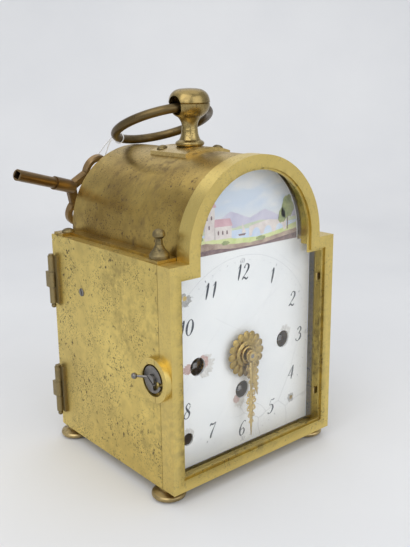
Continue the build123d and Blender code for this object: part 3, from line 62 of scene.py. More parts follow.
def node(tree, kind, **values):
    """New node; each value goes to the socket of that name, or else to the node's own property."""
    made = tree.nodes.new(kind)
    for key, value in values.items():
        if key in made.inputs:
            made.inputs[key].default_value = value
        else:
            setattr(made, key, value)
    return made


def object_place(tree):
    """Socket with the place on the piece, in metres."""
    return tree.nodes.new("ShaderNodeTexCoord").outputs["Object"]


def noise(tree, vector, **values):
    """Socket with noise read at a vector, from 0 to 1."""
    made = node(tree, "ShaderNodeTexNoise", **values)
    tree.links.new(vector, made.inputs["Vector"])
    return made.outputs["Fac"]


def ramp(tree, source, stops):
    """Socket with a colour that follows the source between (place, colour) stops."""
    made = tree.nodes.new("ShaderNodeValToRGB")
    elements = made.color_ramp.elements
    while len(elements) < len(stops):
        elements.new(0.5)
    for element, (place, colour) in zip(elements, stops):
        element.position = place
        element.color = (*colour, 1.0)
    tree.links.new(source, made.inputs[0])
    return made.outputs["Color"]


def remap(tree, source, from_low, from_high, to_low, to_high):
    """Socket that maps from_low to from_high of the source evenly onto to_low to to_high."""
    made = tree.nodes.new("ShaderNodeMapRange")
    made.inputs["From Min"].default_value = from_low
    made.inputs["From Max"].default_value = from_high
    made.inputs["To Min"].default_value = to_low
    made.inputs["To Max"].default_value = to_high
    tree.links.new(source, made.inputs["Value"])
    return made.outputs["Result"]


def calculate(tree, operation, first, second):
    """Socket with the result of a sum on two sockets."""
    made = node(tree, "ShaderNodeMath", operation=operation)
    tree.links.new(first, made.inputs[0])
    tree.links.new(second, made.inputs[1])
    return made.outputs[0]


def blend(tree, factor, first, second, **kind):
    """Socket with two colours mixed by a factor; each of the three is a socket or a fixed value."""
    made = node(tree, "ShaderNodeMix", data_type="RGBA", **kind)
    for name, value in (("Factor", factor), ("A", first), ("B", second)):
        if isinstance(value, bpy.types.NodeSocket):
            tree.links.new(value, made.inputs[name])
        else:
            made.inputs[name].default_value = value
    return made.outputs["Result"]


def relief(tree, shader, height, strength, distance):
    """Lets a height socket bend the light on the surface."""
    made = node(tree, "ShaderNodeBump", Strength=strength, Distance=distance)
    tree.links.new(height, made.inputs["Height"])
    tree.links.new(made.outputs["Normal"], shader.inputs["Normal"])


def speckle_group():
    """Mask of dark corrosion: fine pits, spots and broad clouds of pits, each by its own amount.
    Each kind is one noise cut off between two levels, times a second such noise that thins it out,
    and the mask is the greatest of the three."""
    group = bpy.data.node_groups.new("speckle", "ShaderNodeTree")
    face = group.interface
    face.new_socket("Vector", in_out="INPUT", socket_type="NodeSocketVector")
    for name in ("Fine", "Spots", "Clouds"):
        face.new_socket(name, in_out="INPUT", socket_type="NodeSocketFloat")
    face.new_socket("Mask", in_out="OUTPUT", socket_type="NodeSocketFloat")
    inside = group.nodes.new("NodeGroupInput")
    outside = group.nodes.new("NodeGroupOutput")

    def cut_noise(scale, detail, rough, low, high):
        made = noise(group, inside.outputs["Vector"], Scale=scale, Detail=detail, Roughness=rough)
        return remap(group, made, low, high, 0.0, 1.0)

    kinds = []
    for name, dots, thinning in (
        ("Fine", (1500.0, 2.0, 0.6, 0.56, 0.65), (90.0, 2.0, 0.6, 0.38, 0.62)),
        ("Spots", (520.0, 3.0, 0.7, 0.58, 0.65), (60.0, 2.0, 0.6, 0.40, 0.60)),
        ("Clouds", (38.0, 3.0, 0.6, 0.46, 0.66), (260.0, 4.0, 0.6, 0.42, 0.62)),
    ):
        amount = calculate(group, "MULTIPLY", cut_noise(*dots), inside.outputs[name])
        kinds.append(calculate(group, "MULTIPLY", amount, cut_noise(*thinning)))
    fine, spots, clouds = kinds
    mask = calculate(group, "MAXIMUM", calculate(group, "MAXIMUM", fine, spots), clouds)
    group.links.new(mask, outside.inputs["Mask"])
    return group


SPECKLE = speckle_group()


def aged_metal(name, bright, dull, spot, fine, spots, clouds, rough, bump, edge=0.0):
    """Old brass or bronze: two tones in broad drifts, under fine streaks and dark corrosion.
    The corrosion is less metallic and rougher. With an edge above 0 the sharp edges get a painted
    highlight, a lighter colour of the same metal."""
    material, tree, shader = tree_of(name)
    place = object_place(tree)
    speck = node(tree, "ShaderNodeGroup", node_tree=SPECKLE)
    tree.links.new(place, speck.inputs["Vector"])
    for socket, amount in (("Fine", fine), ("Spots", spots), ("Clouds", clouds)):
        speck.inputs[socket].default_value = amount
    corroded = speck.outputs["Mask"]
    drift = noise(tree, place, Scale=26.0, Detail=6.0, Roughness=0.62)
    tone = ramp(tree, drift, [(0.34, dull), (0.62, bright)])
    streak = noise(tree, place, Scale=220.0, Detail=3.0)
    shade = ramp(tree, streak, [(0.3, (0.72, 0.72, 0.72)), (0.7, (1.12, 1.12, 1.1))])
    streaked = blend(tree, 0.35, tone, shade, blend_type="MULTIPLY")
    colour = blend(tree, corroded, streaked, (*spot, 1.0))
    if edge:
        # Painted highlight: sharp edges take a lighter colour of the same metal
        sharp = tree.nodes.new("ShaderNodeNewGeometry").outputs["Pointiness"]
        edge_highlight = ramp(tree, sharp, [(0.50, (0, 0, 0)), (0.58, (edge, edge, edge))])
        highlight_colour = [min(1.0, c * 1.3 + 0.03) for c in bright]
        colour = blend(tree, edge_highlight, colour, (*highlight_colour, 1.0))
    tree.links.new(colour, shader.inputs["Base Color"])
    metallic = remap(tree, corroded, 0.0, 1.0, 1.0, 0.55)
    tree.links.new(metallic, shader.inputs["Metallic"])
    roughness = remap(tree, corroded, 0.0, 1.0, rough, min(0.9, rough + 0.3))
    tree.links.new(roughness, shader.inputs["Roughness"])
    relief(tree, shader, streak, bump, 0.0004)
    return material


def dress(material, *nodes):
    """Gives CAD nodes their material. Their shape stays as it is."""
    for name in nodes:
        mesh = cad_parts[name].data
        mesh.materials.clear()
        mesh.materials.append(material)


side_brass = aged_metal(
    "side_brass",
    bright=(0.80, 0.62, 0.195), dull=(0.62, 0.47, 0.145), spot=(0.10, 0.075, 0.035),
    fine=1.0, spots=1.0, clouds=0.4, rough=0.36, bump=0.07,
)
dress(
    side_brass, "left_side_plate", "right_side_plate", "base_plate", "shoulder_plate",
    "rear_lunette", "rear_rail", "rear_door",
)


# Cover
# The barrel-shaped cover of the travelling case, with its flanges along the shoulders.
# One bent sheet of brass, browner and more clouded than the sides.
vault_brass = aged_metal(
    "vault_brass",
    bright=(0.60, 0.43, 0.125), dull=(0.30, 0.19, 0.045), spot=(0.075, 0.045, 0.02),
    fine=0.9, spots=0.9, clouds=0.85, rough=0.32, bump=0.08,
)
dress(vault_brass, "vault_cover")


# Front door and latch mount
# The frame that holds the glass, and the round mount of the latch, split at the door's seam.
# Cast brass, filed square, dark in its pits, with a painted highlight along its edges.
bezel_brass = aged_metal(
    "bezel_brass",
    bright=(0.60, 0.46, 0.14), dull=(0.42, 0.31, 0.09), spot=(0.07, 0.05, 0.025),
    fine=0.95, spots=1.0, clouds=0.7, rough=0.33, bump=0.08, edge=0.6,
)
dress(bezel_brass, "front_door_frame", "latch_mount", "latch_keeper")


# Hinges, finials and domed screws
# Hinge leaves and pins of both doors, the turned finials of the cover and the screws that hold it.
# Turned and filed bronze, brown nearly all over, with a painted highlight along the edges.
hinge_bronze = aged_metal(
    "hinge_bronze",
    bright=(0.26, 0.20, 0.09), dull=(0.13, 0.10, 0.05), spot=(0.03, 0.024, 0.014),
    fine=0.9, spots=0.9, clouds=0.8, rough=0.42, bump=0.35, edge=0.5,
)
dress(
    hinge_bronze, "case_hinge_leaves", "hinge_pins", "front_hinge_door_leaves",
    "rear_hinge_door_leaves", "cover_finials", "cover_rear_screws", "post_plate_screws",
)


# Post of the handle
# A square plate screwed on the cover, and the turned post on it, whose pierced knob holds the ring.
# The plate is polished and the knob brown. The rear door's button is of the plate's brass.
post_brass = aged_metal(
    "post_brass",
    bright=(0.74, 0.55, 0.21), dull=(0.55, 0.38, 0.14), spot=(0.10, 0.07, 0.035),
    fine=0.5, spots=0.5, clouds=0.5, rough=0.22, bump=0.05,
)
knob_brass = aged_metal(
    "knob_brass",
    bright=(0.40, 0.30, 0.12), dull=(0.22, 0.155, 0.06), spot=(0.07, 0.05, 0.025),
    fine=0.8, spots=0.7, clouds=0.6, rough=0.25, bump=0.06,
)
dress(post_brass, "post_plate", "rear_door_button")
dress(knob_brass, "handle_post")


# Feet
# Four turned feet, riveted into the base.
# Brass, dull from standing.
feet_brass = aged_metal(
    "feet_brass",
    bright=(0.50, 0.38, 0.18), dull=(0.30, 0.22, 0.10), spot=(0.06, 0.045, 0.025),
    fine=0.6, spots=0.7, clouds=0.7, rough=0.3, bump=0.1,
)
dress(feet_brass, "feet")


# Carrying ring
# A ring of round bronze wire that swings in the knob.
# It is dark brown all over.
ring_bronze = aged_metal(
    "ring_bronze",
    bright=(0.165, 0.118, 0.052), dull=(0.085, 0.058, 0.027), spot=(0.04, 0.028, 0.016),
    fine=0.7, spots=0.6, clouds=0.6, rough=0.34, bump=0.2,
)
dress(ring_bronze, "carrying_ring")


# Winding key
# A key with a pierced bow and a square pipe, tied to the ring.
# Cast bronze, reddish brown, with a painted highlight along its edges.
key_bronze = aged_metal(
    "key_bronze",
    bright=(0.235, 0.150, 0.064), dull=(0.125, 0.078, 0.034), spot=(0.07, 0.042, 0.02),
    fine=0.6, spots=0.5, clouds=0.5, rough=0.3, bump=0.15, edge=0.6,
)
dress(key_bronze, "winding_key")


# Movement
# Two plates on pillars with the barrels and wheels between them, and the bell behind.
# Plates and wheels are of yellow brass, balance and cock are gilt, and the bell is of bell metal.
movement_brass = aged_metal(
    "movement_brass",
    bright=(0.72, 0.54, 0.22), dull=(0.60, 0.43, 0.16), spot=(0.16, 0.11, 0.05),
    fine=0.3, spots=0.3, clouds=0.2, rough=0.3, bump=0.05,
)
# The gilt parts get a painted highlight along their sharp edges.
gilt = aged_metal(
    "gilt",
    bright=(0.62, 0.45, 0.16), dull=(0.36, 0.25, 0.09), spot=(0.07, 0.05, 0.025),
    fine=0.5, spots=0.6, clouds=0.7, rough=0.3, bump=0.15, edge=0.4,
)
bell_metal = aged_metal(
    "bell_metal",
    bright=(0.60, 0.45, 0.20), dull=(0.42, 0.31, 0.13), spot=(0.13, 0.09, 0.045),
    fine=0.4, spots=0.4, clouds=0.4, rough=0.28, bump=0.06,
)
dress(
    movement_brass, "dial_feet", "front_movement_plate", "back_movement_plate", "movement_pillars",
    "movement_supports", "glass_clips", "centre_wheel", "hour_wheel", "minute_wheel",
    "going_barrel", "striking_barrel", "alarm_barrel", "third_wheel", "escape_wheel",
)
dress(
    gilt, "balance_cock", "balance_wheel", "hand_collet", "minute_hand", "hour_hand", "alarm_disc",
)
dress(bell_metal, "bell")


# Steel parts
# The latch lever, two screws, the arbors, the balance spring, the hammer and the bell's stand.
# Turned and filed steel, grey with small brown spots.
steel = aged_metal(
    "steel",
    bright=(0.33, 0.32, 0.31), dull=(0.20, 0.19, 0.18), spot=(0.06, 0.04, 0.03),
    fine=0.6, spots=0.6, clouds=0.4, rough=0.34, bump=0.08,
)
dress(
    steel, "latch_lever", "latch_screw", "side_screw", "going_winding_arbor",
    "striking_winding_arbor", "alarm_winding_arbor", "centre_arbor", "cannon_pinion",
    "balance_spring", "bell_hammer", "bell_stand",
)


# Glass of the front door
# A flat pane behind the front frame, held by clips.
# Thin clear glass with a faint veil of dust.
def glass_material():
    """Pane that lets light straight through and mirrors a little at a slant."""
    mirror_share = 0.16
    material, tree, shader = tree_of("glass")
    tree.nodes.remove(shader)
    clear = node(tree, "ShaderNodeBsdfTransparent", Color=(0.995, 0.998, 0.995, 1.0))
    shine = tree.nodes.new("ShaderNodeBsdfGlossy")
    smear = noise(tree, object_place(tree), Scale=60.0, Detail=5.0)
    veil = ramp(tree, smear, [(0.45, (0.02, 0.02, 0.02)), (0.7, (0.06, 0.06, 0.06))])
    tree.links.new(veil, shine.inputs["Roughness"])
    slant = node(tree, "ShaderNodeFresnel", IOR=1.35)
    part = node(tree, "ShaderNodeMath", operation="MULTIPLY")
    part.inputs[1].default_value = mirror_share
    mixed = tree.nodes.new("ShaderNodeMixShader")
    tree.links.new(slant.outputs[0], part.inputs[0])
    tree.links.new(part.outputs[0], mixed.inputs["Fac"])
    tree.links.new(clear.outputs[0], mixed.inputs[1])
    tree.links.new(shine.outputs[0], mixed.inputs[2])
    tree.links.new(mixed.outputs[0], tree.nodes["Material Output"].inputs["Surface"])
    return material


dress(glass_material(), "front_door_glass")


# Dial
# A flat copper plate under white enamel, pierced for the hands, three winding squares, a smaller
# fourth hole and two screws. The enamel is glossy and crossed by a net of very fine cracks.
def enamel_material():
    """White in two close tones. The cracks are edges of warped cells, and show only in places."""
    material, tree, shader = tree_of("dial_enamel")
    place = object_place(tree)
    drift = noise(tree, place, Scale=45.0, Detail=4.0)
    base = ramp(tree, drift, [(0.35, (0.88, 0.89, 0.90)), (0.65, (0.95, 0.95, 0.945))])
    warp = node(tree, "ShaderNodeTexNoise", Scale=30.0, Detail=2.0)
    tree.links.new(place, warp.inputs["Vector"])
    bend = blend(tree, 0.02, place, warp.outputs["Color"])
    cells = node(tree, "ShaderNodeTexVoronoi", feature="DISTANCE_TO_EDGE", Scale=34.0)
    tree.links.new(bend, cells.inputs["Vector"])
    line = ramp(tree, cells.outputs["Distance"], [(0.0, (0.55, 0.55, 0.55)), (0.006, (0, 0, 0))])
    where = noise(tree, place, Scale=20.0, Detail=1.0)
    gate = ramp(tree, where, [(0.48, (0, 0, 0)), (0.60, (1, 1, 1))])
    cracks = blend(tree, 1.0, line, gate, blend_type="MULTIPLY")
    cracked = blend(tree, cracks, base, (0.42, 0.42, 0.42, 1.0))
    tree.links.new(cracked, shader.inputs["Base Color"])
    shader.inputs["Roughness"].default_value = 0.16
    shader.inputs["Coat Weight"].default_value = 0.4
    shader.inputs["Coat Roughness"].default_value = 0.05
    relief(tree, shader, drift, 0.03, 0.001)
    return material


dress(enamel_material(), "dial")


# Dial writing
# Plain Arabic figures for the hours, small ones at the quarters, and a faint minute track.
# Dark enamel ink, written with a pen that swells and thins, here as flat ribbons over the white.
dial_low, dial_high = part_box("dial")
face_y = dial_low[1]
centre_x = (dial_low[0] + dial_high[0]) / 2
centre_z = 48.7 * MM
ink_lift = 0.03 * MM
# Strokes of each figure, in shares of its height: rows of (across, up, width)
FIGURES = {
    "1": [
        [
            (0.14, 0.8, 0.02), (0.25, 0.9, 0.04), (0.33, 1.0, 0.09), (0.32, 0.6, 0.13),
            (0.3, 0.2, 0.1), (0.29, 0.0, 0.04),
        ],
    ],
    "2": [
        [
            (0.1, 0.74, 0.1), (0.14, 0.9, 0.05), (0.28, 1.0, 0.05), (0.46, 0.86, 0.12),
            (0.44, 0.62, 0.11), (0.26, 0.34, 0.05), (0.06, 0.1, 0.03), (0.04, 0.02, 0.04),
            (0.2, 0.12, 0.08), (0.4, 0.0, 0.09), (0.56, 0.1, 0.04),
        ],
    ],
    "3": [
        [
            (0.08, 0.82, 0.09), (0.2, 0.98, 0.04), (0.38, 0.94, 0.09), (0.42, 0.74, 0.1),
            (0.24, 0.54, 0.03),
        ],
        [
            (0.24, 0.54, 0.03), (0.46, 0.46, 0.08), (0.5, 0.2, 0.12), (0.3, 0.0, 0.05),
            (0.08, 0.06, 0.05), (0.06, 0.18, 0.09),
        ],
    ],
    "4": [
        [(0.4, 1.0, 0.04), (0.24, 0.66, 0.05), (0.02, 0.3, 0.03)],
        [(0.02, 0.3, 0.03), (0.3, 0.29, 0.04), (0.58, 0.3, 0.03)],
        [(0.42, 1.0, 0.05), (0.4, 0.5, 0.12), (0.38, 0.0, 0.06)],
    ],
    "5": [
        [(0.52, 1.0, 0.07), (0.36, 0.96, 0.06), (0.18, 0.96, 0.03), (0.12, 0.6, 0.03)],
        [
            (0.12, 0.6, 0.03), (0.34, 0.62, 0.06), (0.5, 0.38, 0.12), (0.38, 0.06, 0.07),
            (0.14, 0.0, 0.04), (0.05, 0.12, 0.09),
        ],
    ],
    "6": [
        [
            (0.5, 0.9, 0.08), (0.38, 1.0, 0.04), (0.16, 0.78, 0.06), (0.06, 0.4, 0.12),
            (0.16, 0.04, 0.07), (0.34, 0.0, 0.04), (0.48, 0.2, 0.1), (0.4, 0.46, 0.05),
            (0.2, 0.44, 0.03), (0.09, 0.3, 0.03),
        ],
    ],
    "7": [
        [(0.06, 0.84, 0.03), (0.12, 0.98, 0.09), (0.3, 0.92, 0.08), (0.56, 1.0, 0.03)],
        [(0.56, 1.0, 0.03), (0.4, 0.62, 0.05), (0.28, 0.28, 0.11), (0.24, 0.0, 0.1)],
    ],
    "8": [
        [
            (0.44, 0.86, 0.05), (0.28, 1.0, 0.04), (0.12, 0.82, 0.07), (0.24, 0.58, 0.11),
            (0.46, 0.34, 0.11), (0.44, 0.08, 0.06), (0.24, 0.0, 0.04), (0.06, 0.16, 0.07),
            (0.16, 0.42, 0.04), (0.38, 0.62, 0.03), (0.46, 0.8, 0.04),
        ],
    ],
    "9": [
        [
            (0.06, 0.1, 0.08), (0.18, 0.0, 0.04), (0.4, 0.22, 0.06), (0.5, 0.6, 0.12),
            (0.4, 0.96, 0.07), (0.22, 1.0, 0.04), (0.08, 0.8, 0.1), (0.16, 0.54, 0.05),
            (0.36, 0.56, 0.03), (0.47, 0.7, 0.03),
        ],
    ],
}
figure_slant = 0.20
figure_advance = 0.60
figure_gap = 0.06


def new_mesh(name, verts, faces, material, smooth=True):
    """Mesh object with one material, linked to the scene, at the origin."""
    mesh = bpy.data.meshes.new(name)
    mesh.from_pydata(np.asarray(verts, float).tolist(), [], faces)
    mesh.validate()
    mesh.update()
    if smooth:
        mesh.polygons.foreach_set("use_smooth", [True] * len(mesh.polygons))
    mesh.materials.append(material)
    obj = bpy.data.objects.new(name, mesh)
    scene.collection.objects.link(obj)
    return obj


def grid_faces(rows, columns, wrap=False):
    """Quads between neighbours on a grid, row by row; wrap joins the last column to the first."""
    here = np.arange(columns if wrap else columns - 1)
    there = (here + 1) % columns
    low = np.arange(rows - 1)[:, None] * columns
    high = low + columns
    quads = np.stack([low + here, low + there, high + there, high + here], axis=-1)
    return quads.reshape(-1, 4).tolist()


def joined(parts):
    """Several parts as one mesh: each part's vertex numbers follow on from the last one's."""
    starts = np.cumsum([0] + [len(verts) for verts, _ in parts]).tolist()
    faces = [[start + i for i in face] for start, (_, each) in zip(starts, parts) for face in each]
    return np.concatenate([verts for verts, _ in parts]), faces


def on_dial(obj):
    """Fixes a piece of paint to the dial."""
    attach(obj, "case")


def paint(name, first, second, scale, rough=0.35):
    """Flat enamel paint in two close tones, brushed together."""
    material, tree, shader = tree_of(name)
    brushed = noise(tree, object_place(tree), Scale=scale, Detail=4.0, Roughness=0.65)
    tone = ramp(tree, brushed, [(0.32, first), (0.68, second)])
    tree.links.new(tone, shader.inputs["Base Color"])
    shader.inputs["Roughness"].default_value = rough
    return material


def smooth_stroke(points, steps=7):
    """Catmull-Rom curve through (across, up, width) rows: between two rows it is the cubic that
    passes through both, with the slope of the line between the neighbours of each."""
    p = np.array(points, float)
    p = np.vstack([2 * p[0] - p[1], p, 2 * p[-1] - p[-2]])
    a, b, c, d = (p[k : len(p) - 3 + k, None] for k in range(4))
    t = np.linspace(0, 1, steps, endpoint=False)[None, :, None]
    square = (2 * a - 5 * b + 4 * c - d) * t**2
    cube = (3 * b - a - 3 * c + d) * t**3
    curve = 0.5 * (2 * b + (c - a) * t + square + cube)
    return np.vstack([curve.reshape(-1, 3), p[-2]])


def nought():
    """Ring of the nought: an ellipse, thick at its sides and thin at its top and foot."""
    turn = np.linspace(0, 2 * math.pi, 40, endpoint=False)
    width = 0.035 + 0.10 * np.cos(turn) ** 2
    return np.stack([0.28 + 0.24 * np.cos(turn), 0.5 + 0.5 * np.sin(turn), width], 1)


def ribbon(path, closed):
    """Flat stroke along (x, z, width) rows: each row gives a point to either side of the line,
    half the width away from it and square to its run."""
    line = path[:, :2]
    along = np.roll(line, -1, 0) - np.roll(line, 1, 0)
    if not closed:
        along[0] = line[1] - line[0]
        along[-1] = line[-1] - line[-2]
    along /= np.maximum(np.linalg.norm(along, axis=1, keepdims=True), 1e-9)
    aside = np.stack([-along[:, 1], along[:, 0]], 1) * path[:, 2:3] / 2
    count = len(line)
    here = np.arange(count if closed else count - 1)
    there = (here + 1) % count
    faces = np.stack([here, count + here, count + there, there], 1).tolist()
    return np.concatenate([line + aside, line - aside]), faces


def figure_strokes(text, height, x, z, weight):
    """Strokes of a number, upright and slanted, centred at (x, z), in metres."""
    width = figure_advance * len(text) - figure_gap
    strokes = []
    for k, digit in enumerate(text):
        closed = digit == "0"
        for body in [nought()] if closed else [smooth_stroke(rows) for rows in FIGURES[digit]]:
            body[:, 2] *= weight
            body[:, 0] += k * figure_advance - width / 2 + figure_slant * (body[:, 1] - 0.5)
            body[:, 1] -= 0.5
            body *= height
            strokes.append((body + (x, z, 0.0), closed))
    return strokes


def round_dial(reach, minute):
    """Place on the dial at a reach from its middle, where a hand at that minute points."""
    angle = math.radians(90 - 6 * minute)
    return centre_x + reach * math.cos(angle), centre_z + reach * math.sin(angle)


def flat_piece(name, strokes, material, lift):
    """All strokes as one piece, a lift in front of the enamel."""
    flat, faces = joined([ribbon(body, closed) for body, closed in strokes])
    verts = np.insert(flat, 1, face_y - lift, axis=1)
    on_dial(new_mesh(name, verts, faces, material, smooth=False))


ink = paint("dial_ink", (0.035, 0.04, 0.055), (0.10, 0.11, 0.13), 900.0, 0.3)
faint_ink = paint("dial_ink_faint", (0.30, 0.31, 0.34), (0.50, 0.51, 0.53), 900.0, 0.3)

hour_strokes = []
for hour in range(1, 13):
    hour_strokes += figure_strokes(str(hour), 6.1 * MM, *round_dial(33.6 * MM, 5 * hour), 1.3)
flat_piece("hour_figures", hour_strokes, ink, ink_lift)

minute_strokes = []
for minute, text in ((0, "60"), (15, "15"), (30, "30"), (45, "45")):
    minute_strokes += figure_strokes(text, 1.9 * MM, *round_dial(38.3 * MM, minute), 1.2)
flat_piece("minute_figures", minute_strokes, faint_ink, ink_lift)

# Short ticks, longer and broader at the fives, with the quarters left free for their figures
tick_strokes = []
for minute in range(60):
    if minute % 15:
        outer, width = (38.5, 0.22) if minute % 5 else (38.9, 0.4)
        ends = [(*round_dial(reach * MM, minute), width * MM) for reach in (38.0, outer)]
        tick_strokes.append((np.array(ends), False))
flat_piece("minute_track", tick_strokes, faint_ink, ink_lift)

# Thin line over the track, where the upper part of its circle lies clear of the frame
track_count = 180
track_reach = 40.4 * MM
turn = np.linspace(0, 2 * math.pi, track_count, endpoint=False)
track_x = track_reach * np.cos(turn) + centre_x
track_z = track_reach * np.sin(turn) + centre_z
track = np.stack([track_x, track_z, np.full(track_count, 0.07 * MM)], 1)
track = track[(np.abs(track_x - centre_x) < 37 * MM) & (track_z > 50 * MM)]
flat_piece("track_line", [(track[np.argsort(track[:, 0])], False)], faint_ink, ink_lift)


# Painted arch
# A plain lakeside view over the dial: sky, hills, lake, banks, a bridge, a round tower and trees.
# Enamel paint, laid on in thin coats, here as flat layers. Outlines are in millimetres.
arch_z = 94.7 * MM
foot_z = 91.9 * MM
picture_radius = 31.0 * MM
coat = 0.012 * MM


def coat_y(depth):
    """Place of the coat of that number, counted outwards from the enamel."""
    return face_y - ink_lift * 0.5 - depth * coat


def layer(name, outline, material, depth):
    """One painted shape from its outline. A point past the arch is pulled straight towards the
    arch's middle onto its edge, and one under the picture's foot comes up to it."""
    x, z = np.array(outline, float).T * MM
    rise = z - arch_z
    reach = np.hypot(x, rise)
    outside = (rise > 0) & (reach > picture_radius)
    pull = np.where(outside, picture_radius / np.maximum(reach, picture_radius), 1.0)
    x = np.clip(x * pull, -picture_radius, picture_radius)
    z = np.maximum(foot_z, arch_z + rise * pull)
    verts = np.stack([centre_x + x, np.full(len(x), coat_y(depth)), z], 1)
    shape = bmesh.new()
    shape.faces.new([shape.verts.new(place) for place in verts])
    bmesh.ops.triangulate(shape, faces=shape.faces[:])
    mesh = bpy.data.meshes.new(name)
    shape.to_mesh(mesh)
    shape.free()
    mesh.materials.append(material)
    obj = bpy.data.objects.new(name, mesh)
    scene.collection.objects.link(obj)
    on_dial(obj)


def strip(name, xs, lows, highs, material, depth):
    """One painted shape in columns between a lower and an upper line, both kept inside the arch."""
    x = np.asarray(xs, float) * MM
    roof = arch_z + np.sqrt(np.maximum(picture_radius**2 - x**2, 0.0))
    rows = [np.clip(np.asarray(line, float) * MM, foot_z, roof) for line in (lows, highs)]
    y = np.full(len(x), coat_y(depth))
    verts = np.concatenate([np.stack([centre_x + x, y, z], 1) for z in rows])
    on_dial(new_mesh(name, verts, grid_faces(2, len(x)), material, smooth=False))


def band(name, crest, material, depth):
    """Ground or water from a crest line down to the foot of the picture."""
    xs = np.linspace(-30.99, 30.99, 121)
    highs = np.interp(xs, *np.array(crest, float).T)
    strip(name, xs, np.full(len(xs), 91.9), highs, material, depth)


def wavy(points, amount, seed, steps=6):
    """Crest line with a hand's waver: even steps along each run, each moved by up to the amount."""
    rng = random.Random(seed)
    p = np.array(points, float)
    share = (np.arange(steps) / steps)[None, :, None]
    line = (p[:-1, None] + (p[1:, None] - p[:-1, None]) * share).reshape(-1, 2)
    waver = [rng.uniform(-amount, amount) for _ in range(line.size)]
    return np.vstack([line + np.reshape(waver, (-1, 2)), p[-1]])


def leafy(name, x, z, half_width, half_height, seed):
    """Crown of a tree: an ellipse whose reach varies at random from point to point."""
    rng = random.Random(seed)
    angles = np.linspace(0, 2 * math.pi, 26, endpoint=False)
    wobble = 1 + np.array([rng.uniform(-0.18, 0.14) for _ in angles])
    crown_x = x + half_width * wobble * np.cos(angles)
    crown_z = z + half_height * wobble * np.sin(angles)
    layer(name, np.stack([crown_x, crown_z], 1), leaf_paint, 9)


def sky_material():
    """Warm white over the hills that turns to pale blue higher up, with thin flat clouds."""
    material, tree, shader = tree_of("painted_sky")
    place = object_place(tree)
    parts = tree.nodes.new("ShaderNodeSeparateXYZ")
    tree.links.new(place, parts.inputs[0])
    height = remap(tree, parts.outputs["Z"], 0.100, 0.126, 0.0, 1.0)
    horizon, middle, top = (0.86, 0.84, 0.80), (0.66, 0.74, 0.86), (0.74, 0.80, 0.88)
    shade = ramp(tree, height, [(0.0, horizon), (0.35, middle), (1.0, top)])
    squash = node(tree, "ShaderNodeMapping", Scale=(0.6, 1.0, 1.6))
    tree.links.new(place, squash.inputs["Vector"])
    cloud = noise(tree, squash.outputs["Vector"], Scale=90.0, Detail=5.0)
    where = ramp(tree, cloud, [(0.48, (0, 0, 0)), (0.66, (0.8, 0.8, 0.8))])
    colour = blend(tree, where, shade, (0.90, 0.89, 0.88, 1.0))
    tree.links.new(colour, shader.inputs["Base Color"])
    shader.inputs["Roughness"].default_value = 0.25
    return material


hill_paint = paint("painted_hills", (0.56, 0.54, 0.68), (0.70, 0.68, 0.78), 160.0)
far_paint = paint("painted_far_bank", (0.58, 0.66, 0.50), (0.72, 0.74, 0.56), 260.0)
lake_paint = paint("painted_lake", (0.58, 0.68, 0.86), (0.76, 0.82, 0.90), 120.0)
meadow_paint = paint("painted_meadow", (0.62, 0.72, 0.30), (0.78, 0.80, 0.46), 240.0)
earth_paint = paint("painted_earth", (0.34, 0.24, 0.20), (0.62, 0.50, 0.40), 200.0)
dark_paint = paint("painted_shade", (0.16, 0.11, 0.12), (0.34, 0.24, 0.24), 260.0)
stone_paint = paint("painted_stone", (0.72, 0.64, 0.62), (0.88, 0.82, 0.78), 260.0)
roof_paint = paint("painted_roof", (0.62, 0.36, 0.42), (0.76, 0.52, 0.56), 300.0)
leaf_paint = paint("painted_leaves", (0.24, 0.30, 0.16), (0.48, 0.52, 0.26), 420.0)

hills = [
    (-31, 101.5), (-24, 106.0), (-15, 103.2), (-6, 107.5),
    (4, 103.6), (12, 106.4), (20, 103.0), (31, 105.0),
]
far_bank = [(-31, 100.6), (-18, 101.6), (-4, 100.8), (9, 102.0), (22, 101.0), (31, 101.6)]
meadow = [(-31, 97.8), (-22, 99.0), (-12, 98.2), (-3, 96.4), (8, 95.6), (20, 96.8), (31, 99.0)]
bank = [(-31, 95.6), (-19, 96.6), (-8, 94.8), (4, 93.8), (15, 94.6), (31, 96.4)]
shade = [(-31, 93.2), (-16, 93.9), (-4, 92.7), (9, 92.4), (19, 93.4), (31, 94.6)]
band("picture_sky", [(-31, 140), (31, 140)], sky_material(), 0)
band("picture_hills", wavy(hills, 0.12, 3), hill_paint, 1)
band("picture_far_bank", wavy(far_bank, 0.12, 5), far_paint, 2)
band("picture_lake", [(-31, 99.8), (-10, 99.9), (14, 99.6), (31, 99.9)], lake_paint, 3)
band("picture_meadow", wavy(meadow, 0.1, 8), meadow_paint, 4)
band("picture_bank", wavy(bank, 0.12, 9), earth_paint, 5)
band("picture_shade", wavy(shade, 0.1, 11), dark_paint, 6)

# Round tower with a pointed roof on the left bank, and a low hall beside it
tower = [(-19.5, 97.5), (-14.2, 97.5), (-14.4, 110.0), (-19.3, 110.0)]
hall = [(-14.4, 97.3), (-5.8, 97.0), (-5.8, 102.0), (-14.4, 102.4)]
hall_roof = [(-14.6, 102.2), (-5.2, 101.8), (-6.6, 104.8), (-14.4, 105.2)]
layer("picture_tower", tower, stone_paint, 6)
layer("picture_tower_roof", [(-20.2, 109.8), (-13.5, 109.8), (-16.8, 116.0)], roof_paint, 7)
layer("picture_hall", hall, stone_paint, 6)
layer("picture_hall_roof", hall_roof, roof_paint, 7)
window = [(-0.35, -0.8), (0.35, -0.8), (0.35, 0.5), (0, 0.85), (-0.35, 0.5)]
window_places = [
    (-18.2, 106.0), (-16.0, 106.0), (-17.2, 102.4), (-12.6, 99.8), (-10.4, 99.7), (-8.2, 99.6),
]
for k, place in enumerate(window_places):
    layer(f"picture_window_{k}", np.add(place, window), dark_paint, 8)

